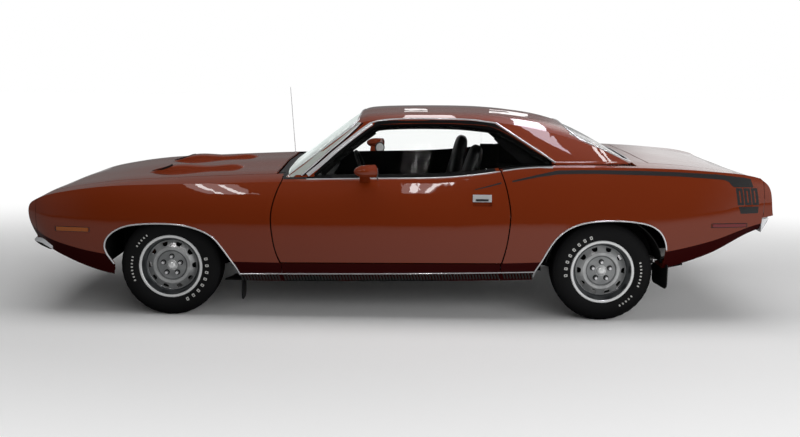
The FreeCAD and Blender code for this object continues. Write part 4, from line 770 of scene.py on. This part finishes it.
# stations along each pad: x, z, half width, half thickness, squareness
cushionStations = ((-.115, .385, .17, .025, 2.4), (-.10, .39, .225, .065, 3.2),
                   (-.03, .395, .24, .085, 3.6), (.12, .385, .24, .085, 3.6), (.27, .37, .24, .082, 3.4),
                   (.36, .365, .235, .06, 3.0), (.385, .365, .17, .025, 2.6))
backStations = ((.345, .385, .15, .03, 2.4), (.352, .42, .225, .062, 3.2), (.382, .55, .24, .07, 3.4),
                (.42, .70, .242, .066, 3.2), (.452, .82, .225, .056, 3.0), (.478, .90, .165, .052, 2.7),
                (.503, .98, .145, .05, 2.6), (.522, 1.045, .12, .04, 2.5), (.529, 1.07, .06, .02, 2.2))
benchStations = ((.80, .475, .56, .03, 2.6), (.815, .485, .60, .065, 3.4), (.95, .485, .60, .07, 4.0),
                 (1.08, .475, .60, .07, 4.0), (1.16, .47, .58, .05, 3.4))
benchBack = ((1.135, .51, .54, .03, 2.8), (1.15, .55, .59, .055, 3.6), (1.195, .70, .60, .06, 4.0),
             (1.25, .85, .59, .055, 3.6), (1.268, .893, .54, .025, 2.8))


# sewn channels over the middle of a pad
def pleats(a):
    if abs(a) > pleat["across"]:
        return 1.0
    return pleat["low"] + pleat["swell"] * abs(math.cos(a * pleat["turns"]))


# a rounded rectangle; a higher power is squarer
def padRing(work, centre, across, up, halfWide, halfHigh, power):
    ring = []
    for k in range(seat["segments"]):
        turn = 2 * math.pi * k / seat["segments"]
        c, s = math.cos(turn), math.sin(turn)
        a = math.copysign(abs(c) ** (2 / power), c)
        b = math.copysign(abs(s) ** (2 / power), s)
        ring.append(work.verts.new(centre + across * (halfWide * a) + up * (halfHigh * b * pleats(a))))
    return ring


# more stations on a smooth curve through the given ones
def smoothStations(points, count):
    out = []
    for i in range(count):
        t = i / (count - 1) * (len(points) - 1)
        k = min(int(t), len(points) - 2)
        f = t - k
        p0, p1, p2 = points[max(k - 1, 0)], points[k], points[k + 1]
        p3 = points[min(k + 2, len(points) - 1)]
        out.append(tuple(.5 * (2 * b + (c - a) * f + (2 * a - 5 * b + 4 * c - d) * f * f
                               + (3 * b - a - 3 * c + d) * f ** 3)
                         for a, b, c, d in zip(p0, p1, p2, p3)))
    return out


def makePad(name, stations, centreY):
    work = bmesh.new()
    rings = []
    across = Vector((0, 1, 0))
    for i, (x, z, halfWide, halfHigh, power) in enumerate(stations):
        before, after = stations[max(i - 1, 0)], stations[min(i + 1, len(stations) - 1)]
        along = Vector((after[0] - before[0], 0, after[1] - before[1])).normalized()
        up = along.cross(across)
        rings.append(padRing(work, Vector((x, centreY, z)), across, up, halfWide, halfHigh, power))
    for one, two in zip(rings, rings[1:]):
        for k in range(len(one)):
            work.faces.new((one[k], one[(k + 1) % len(one)], two[(k + 1) % len(one)], two[k]))
    work.faces.new(rings[0])
    work.faces.new(list(reversed(rings[-1])))
    obj = finishedMesh(work, name, "vinyl", "root", angle=60)
    return obj


def leaned(stations, dx):
    return [(x + dx * (z - seat["backFoot"]) / seat["backTall"], z, *rest) for x, z, *rest in stations]


for side in bothSides:
    centre = side * seat["y"]
    cushion = makePad("cushion" + sideName(side), smoothStations(cushionStations, 26), centre)
    backLine = leaned(backStations, seat["backLean"][side])
    makePad("seatBack" + sideName(side), smoothStations(backLine, 40), centre)
    if side < 0:
        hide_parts("front_seats")
bench = makePad("benchCushion", smoothStations(benchStations, 18), 0)
makePad("benchBack", smoothStations(benchBack, 18), 0)
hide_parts("rear_seat")

# the black panel inside each sail, leaning in towards the roof, in the cabin black with painted shade
sailTrim = {"y": .688, "foot": .965, "lean": .30, "thick": .012, "bevel": .004}
sail = ((.668, 1.222), (.60, 1.135), (.638, 1.097), (.769, .990), (.800, .965), (1.08, .965),
        (1.02, 1.03), (.86, 1.15), (.74, 1.222))


def makeSail(side):
    work = bmesh.new()
    outline = [work.verts.new((x, side * (sailTrim["y"] - (z - sailTrim["foot"]) * sailTrim["lean"]), z))
               for x, z in sail]
    face = work.faces.new(outline)
    grown = bmesh.ops.extrude_face_region(work, geom=[face])
    moved = [item for item in grown["geom"] if isinstance(item, bmesh.types.BMVert)]
    bmesh.ops.translate(work, verts=moved, vec=(0, -side * sailTrim["thick"], 0))
    bmesh.ops.bevel(work, geom=list(work.edges), offset=sailTrim["bevel"], offset_type="OFFSET",
                    segments=2, profile=.5, affect="EDGES", material=-1)
    finishedMesh(work, "sailTrim" + sideName(side), "inside", "root")


for side in bothSides:
    makeSail(side)
print("seats made")

# splash aprons ahead of the front wheels, partly painted shade in the arches, and the trim behind the
# door post
apron = {"x": (-1.875, -1.75), "z": (.325, .525), "y": .46, "thick": .004}
postTrim = {"x": (.612, .715), "z": (.79, .985), "y": .706, "thick": .006}
nut = {"count": 5, "circle": .05715, "radius": .0168, "y": .8132, "thick": .0016, "dome": .0100,
       "domeY": .8365, "domeDeep": .006, "taper": .8, "segments": 24}
scoop = {"x": -1.598, "y": .378, "long": .064, "wide": .070, "z": .92, "lift": .0025}


# one plate on each side
def makePlates(name, plate, finish):
    work = bmesh.new()
    (x0, x1), (z0, z1) = plate["x"], plate["z"]
    size = Matrix.Diagonal((x1 - x0, plate["thick"], z1 - z0, 1))
    for side in bothSides:
        place = Matrix.Translation(((x0 + x1) / 2, side * plate["y"], (z0 + z1) / 2))
        bmesh.ops.create_cube(work, size=1, matrix=place @ size)
    finishedMesh(work, name, finish, "root")


# painted shadow as dark discs round the wheel's nuts, and bright domes on them
def makeNuts(name, axle, side, body):
    for part, radius, y, deep, finish, slotName in (
            ("NutShadows", nut["radius"], nut["y"], nut["thick"], "rubberSeal", "black_paint"),
            ("NutDomes", nut["dome"], nut["domeY"], nut["domeDeep"], "chrome", "chrome")):
        work = bmesh.new()
        for index in range(nut["count"]):
            turn = 2 * math.pi * index / nut["count"]
            place = Matrix.Translation((axle[0] + math.sin(turn) * nut["circle"], side * y,
                                        axle[1] + math.cos(turn) * nut["circle"]))
            place = place @ Matrix.Rotation(side * -math.pi / 2, 4, "X")
            bmesh.ops.create_cone(work, cap_ends=True, segments=nut["segments"], radius1=radius,
                                  radius2=radius * nut["taper"], depth=deep, matrix=place)
        finishedMesh(work, name + part, finish, body)


# painted shade: a dark oval laid on the front of each scoop, where its mouth opens
def makeScoopMouth(side, tree):
    work = bmesh.new()
    bmesh.ops.create_grid(work, x_segments=16, y_segments=16, size=1)
    for vert in work.verts:
        u, v = vert.co.x, vert.co.y
        disc = Vector((u * math.sqrt(1 - v * v / 2), v * math.sqrt(1 - u * u / 2)))
        x, y = scoop["x"] + disc.x * scoop["long"], side * scoop["y"] + disc.y * scoop["wide"]
        place, normal, _, _ = tree.find_nearest(Vector((x, y, scoop["z"])))
        vert.co = place + (normal if normal.z > 0 else -normal) * scoop["lift"]
    finishedMesh(work, "scoopMouthShade" + sideName(side), "rubberSeal", "hood")


makePlates("splashApronShade", apron, "under")
# the post trim takes the cabin black, with its painted shade
makePlates("postTrim", postTrim, "inside")
hoodTree = treeOf("hood")
for side in bothSides:
    makeScoopMouth(side, hoodTree)
    for endName, axle in (("front", frontAxle), ("rear", rearAxle)):
        makeNuts(endName + sideName(side), axle, side, sideBody("wheel_%s_SIDE" % endName, side))
print("small fittings made")

# left and right glasses of the mirrors: turn is in degrees away from straight back
mirrors = {-1: {"x": -.1375, "y": .952, "z": .936, "radius": .038, "turn": 5.0, "thick": .004},
           1: {"x": -.172, "y": .885, "z": .928, "radius": .045, "turn": 60.0, "thick": .004}}
handle = {"x": .5135, "y": .9372, "z": .7805, "size": (.078, .003, .013)}


# painted shade: a black box in the recess of each door handle
def makeHandleSlot(side):
    work = bmesh.new()
    place = Matrix.Translation((handle["x"], side * handle["y"], handle["z"]))
    bmesh.ops.create_cube(work, size=1, matrix=place @ Matrix.Diagonal(handle["size"] + (1,)))
    finishedMesh(work, "handleRecessShade" + sideName(side), "black", sideBody("door_SIDE", side))


def makeMirrorFace(side):
    mirror = mirrors[side]
    radius, thick = mirror["radius"], mirror["thick"]
    place = Matrix.Translation((mirror["x"], side * mirror["y"], mirror["z"]))
    place = place @ Matrix.Rotation(math.radians(-side * mirror["turn"]), 4, "Z")
    place = place @ Matrix.Rotation(math.pi / 2, 4, "Y")
    # a black rim, and inside it the face with the painted reflection
    for name, wide, deep, finish, slotName in (
            ("mirrorRim", radius, thick, "black", "black_paint"),
            ("mirrorPaintedReflection", radius * .8, thick * 1.3, "mirror", "chrome")):
        work = bmesh.new()
        bmesh.ops.create_cone(work, cap_ends=True, segments=40, radius1=wide, radius2=wide * .97,
                              depth=deep, matrix=place)
        finishedMesh(work, name + sideName(side), finish, sideBody("door_SIDE", side))


for side in bothSides:
    makeMirrorFace(side)
    makeHandleSlot(side)
print("mirrors and handles made")


# gives a second finish to the faces of a CAD node that pass the test on centre and normal
def repaint(name, finish, test):
    mesh = nodes[name].data
    mesh.materials.append(materials[finish])
    last = len(mesh.materials) - 1
    for polygon in mesh.polygons:
        if test(polygon.center, polygon.normal):
            polygon.material_index = last


# cabin side of the doors and the roof, in the cabin black with painted shade
for name in ("door_left", "door_right"):
    repaint(name, "inside", lambda c, n: n.y * c.y < -.1 * abs(c.y) or abs(c.y) < .835 and c.z < .85)
repaint("roof", "inside", lambda c, n: n.dot(c - Vector((.1, 0, .75))) < 0)
# edges of the glass, the roof's front edge and the windshield
for name in ("door_glass_left", "door_glass_right"):
    repaint(name, "rubberSeal", lambda c, n: abs(n.y) < .7)
repaint("roof", "screenEdge", lambda c, n: c.x < -.3 and n.x < -.15 and abs(n.y) < .85 and c.z > .9)
repaint("fixed_glass", "screen", lambda c, n: c.x < 0)
repaint("fixed_glass", "rubberSeal",
        lambda c, n: abs(n.y) < .7 and abs(c.y) > .6 and .55 < c.x < 1.05)
# inner walls and undersides of the outer panels, and their lowest faces between the wheels, take the
# undercarriage black, partly as painted shade
for name in ("quarters", "fenders", "nose_panel", "tail_panel", "rockers"):
    repaint(name, "under", lambda c, n: n.y * c.y < -.05 * abs(c.y) and abs(n.y) > .3 or n.z < -.93
            or c.z < .262 and -1.1 < c.x < .95)

# faces that look down below this height get painted shade, in the body paint and the bumpers
shade = {"from": .24, "soft": .06, "below": .66}


def downShade(name):
    mesh = nodes[name].data
    layer = mesh.attributes.new("down", "FLOAT", "FACE")
    values = []
    for polygon in mesh.polygons:
        amount = (-polygon.normal.z - shade["from"]) / shade["soft"]
        values.append(min(1.0, max(0.0, amount)) if polygon.center.z < shade["below"] else 0.0)
    layer.data.foreach_set("value", values)


for name in nodeFinish["body"] + nodeFinish["bumper"]:
    downShade(name)

# angles in degrees, lens and sensor in millimetres
camera = {"place": (.034, -7.096, 1.688), "pitch": 9.484, "yaw": -.274, "roll": .705, "lens": 45.19,
          "sensor": 36, "far": 100}


def placeCamera():
    pitch, yaw, roll = (math.radians(camera[k]) for k in ("pitch", "yaw", "roll"))
    forward = Vector((math.sin(yaw) * math.cos(pitch), math.cos(yaw) * math.cos(pitch),
                      -math.sin(pitch)))
    right = Vector((math.cos(yaw), -math.sin(yaw), 0))
    up = right.cross(forward)
    turnedRight = right * math.cos(roll) + up * math.sin(roll)
    turnedUp = up * math.cos(roll) - right * math.sin(roll)
    data = bpy.data.cameras.new("camera")
    data.lens = camera["lens"]
    data.sensor_width = camera["sensor"]
    data.clip_end = camera["far"]
    obj = bpy.data.objects.new("camera", data)
    turn = Matrix((turnedRight, turnedUp, -forward)).transposed().to_4x4()
    obj.matrix_world = Matrix.Translation(camera["place"]) @ turn
    bpy.context.scene.collection.objects.link(obj)
    bpy.context.scene.camera = obj


placeCamera()
print("camera placed")

# the floor: pale to the camera, and in the paint a dark mat with a brighter floor beyond it
stageSettings = {"floor": 60.0, "matX": 2.9, "matY": (-1.17, 2.28), "matEdge": .1, "pale": .93,
                 "white": (1.5, 4.6), "fadeX": .35, "beyond": .62, "beyondLow": .30,
                 "beyondX": (-2.0, 2.0), "beyondY": (3.0, 11.0)}
# the room in the paint: where its parts begin, as parts of the direction, and how bright they are
room = {"wallX": (.4, .7), "wallY": (-.25, .25), "brightX": (.16, .26), "ceilingZ": (.5, .75),
        "wall": .85, "wallLow": .17, "ceiling": .03, "dark": .008}
# place, size and watts
lights = {"topLight": ((0, -.6, 4.2), (7.5, 3.0), 140.0),
          "frontLight": ((3.2, -6.5, 3.0), (9.0, 3.0), 215.0),
          "backLight": ((0, 6.0, 3.4), (8.0, 2.6), 60.0)}
lightTarget = (0, 0, .6)
# centre, half width and half depth of each lamp seen only in the paint, its strength, its colour,
# and how far its far end leans to the side
lamps = {"fenderPanel": ((-2.12, -4.42, 4.0), (.335, 1.02), 2.6, (1, .9, .9)),
         "fenderTubeA": ((-2.26, -4.4, 3.99), (.040, .92), 15.0, (1, 1, 1)),
         "fenderTubeB": ((-1.98, -4.4, 3.99), (.042, .92), 15.0, (1, 1, 1)),
         "doorPanel": ((.11, -4.28, 4.0), (.125, 1.0), 2.6, (1, .9, .9)),
         "doorTubeA": ((.105, -4.15, 3.99), (.024, .90), 15.0, (1, 1, 1)),
         "doorTubeB": ((.212, -4.2, 3.99), (.012, .88), 15.0, (1, 1, 1)),
         "roofPanel": ((.29, 4.3, 4.0), (.33, 1.3), 3.2, (1, .95, .97)),
         "skyPanel": ((1.885, 1.45, 4.0), (.29, 3.4), 9.0, (.93, .88, 1), .115),
         "tailTubeA": ((2.47, -.9, 3.99), (.032, .7), 14.0, (1, 1, 1)),
         "tailTubeB": ((2.575, -.8, 3.99), (.028, .6), 14.0, (1, 1, 1))}
wallLamps = {"farBarA": ((.155, 9.0, 2.57), (.20, .12), 1.5, (1, 1, 1)),
             "farBarB": ((1.85, 9.0, 2.40), (.40, .055), 1.7, (1, 1, 1))}


# 1 for camera rays, also through glass, as long as nothing has bounced before
def directRays(tree):
    ray = tree.nodes.new("ShaderNodeLightPath")
    seen, through, bounced, shone = (Val(tree, ray.outputs[name]) for name in (
        "Is Camera Ray", "Is Transmission Ray", "Diffuse Depth", "Glossy Depth"))
    return seen.math("MAXIMUM", through * (bounced < .5) * (shone < .5))


def makeFloor():
    work = bmesh.new()
    bmesh.ops.create_grid(work, x_segments=1, y_segments=1, size=stageSettings["floor"] / 2)
    pale = stageSettings["pale"]
    black, full = colour(0, 0, 0), colour(1, 1, 1)
    finish = Finish("paleFloor", colour(pale, pale, pale), .7, Specular_IOR_Level=.1)
    seen = directRays(finish.tree)
    x, y = finish.axis(0), finish.axis(1)
    # the dark mat under the car, in reflections alone
    wide, edge = stageSettings["matX"], stageSettings["matEdge"]
    near, far = stageSettings["matY"]
    offMat = x.math("ABSOLUTE").step(wide, wide + edge)
    offMat = offMat.math("MAXIMUM", y.step(far, far + edge))
    offMat = offMat.math("MAXIMUM", (y * -1.0).step(-near, -near + edge))
    # the floor keeps its shadow near the car and turns white further out
    away = (x * x * stageSettings["fadeX"] + y * y) ** .5
    white = away.step(*stageSettings["white"])
    grain = finish.noise(4.0) * .01 + (pale - .005)
    lit = white.mixColour(grain.mixColour(black, full), black)
    finish.set("Base Color", seen.mixColour(colour(.02, .02, .02), lit))
    low, high = stageSettings["beyondLow"], stageSettings["beyond"]
    level = x.step(*stageSettings["beyondX"]) * (high - low) + low
    level = offMat * level * (1.0 - (y * -1.0).step(*stageSettings["beyondY"]))
    glow = seen.mixColour(level.mixColour(black, full), white.mixColour(black, full))
    finish.set("Emission Color", glow)
    finish.set("Emission Strength", 1.0)
    newObject(work, "floor", finish.material)


# soft light that the gloss doesn't show
def makeLight(name, place, size, power):
    data = bpy.data.lights.new(name, "AREA")
    data.shape = "RECTANGLE"
    data.size, data.size_y = size
    data.energy = power
    light = bpy.data.objects.new(name, data)
    way = Vector(lightTarget) - Vector(place)
    light.matrix_world = Matrix.Translation(place) @ way.to_track_quat("-Z", "Y").to_matrix().to_4x4()
    light.visible_glossy = False
    bpy.context.scene.collection.objects.link(light)


# a glowing plate that only the gloss shows
def makeLamp(name, place, halfSize, strength, tint, lean=0.0, upright=False):
    work = bmesh.new()
    turn = Matrix.Rotation(math.pi / 2, 4, "X") if upright else Matrix.Identity(4)
    size = Matrix.Diagonal((halfSize[0], halfSize[1], 1, 1))
    bmesh.ops.create_grid(work, x_segments=1, y_segments=1, size=1,
                          matrix=Matrix.Translation(place) @ turn @ size)
    for vert in work.verts:
        vert.co.x += lean * (vert.co.y - place[1]) / halfSize[1]
    finish = Finish(name + "Glow", colour(0, 0, 0), 1.0, Emission_Strength=strength)
    finish.set("Emission Color", colour(*tint))
    lamp = newObject(work, name, finish.material)
    for kind in ("camera", "diffuse", "transmission", "shadow"):
        setattr(lamp, "visible_" + kind, False)


# white to the camera; in reflections a wall that is brighter towards the tail, and a dark ceiling
def makeWorld():
    world = bpy.data.worlds.new("world")
    bpy.context.scene.world = world
    world.use_nodes = True
    tree = world.node_tree
    white = directRays(tree)
    way = Val(tree, tree.nodes.new("ShaderNodeTexCoord").outputs["Generated"])
    x, y, z = (way.node("ShaderNodeSeparateXYZ", {0: way}, i) for i in range(3))
    wall = y.step(*room["wallY"]).math("MAXIMUM", x.math("ABSOLUTE").step(*room["wallX"]))
    lit = x.step(*room["brightX"]) * (room["wall"] - room["wallLow"]) + room["wallLow"]
    level = wall * (lit - room["dark"]) + room["dark"]
    above = z.step(*room["ceilingZ"])
    level = level * (1.0 - above) + above * room["ceiling"]
    soft = way.node("ShaderNodeBackground", {"Color": colour(1, 1, 1), "Strength": level})
    bright = way.node("ShaderNodeBackground", {"Color": colour(1, 1, 1), "Strength": 1.0})
    mixed = way.node("ShaderNodeMixShader", {0: white, 1: soft, 2: bright})
    tree.links.new(mixed.socket, tree.nodes["World Output"].inputs["Surface"])


makeFloor()
for name, (place, size, power) in lights.items():
    makeLight(name, place, size, power)
for name, lamp in lamps.items():
    makeLamp(name, *lamp)
for name, lamp in wallLamps.items():
    makeLamp(name, *lamp, upright=True)
makeWorld()
bpy.context.scene.view_settings.view_transform = "Standard"
print("scene ready")
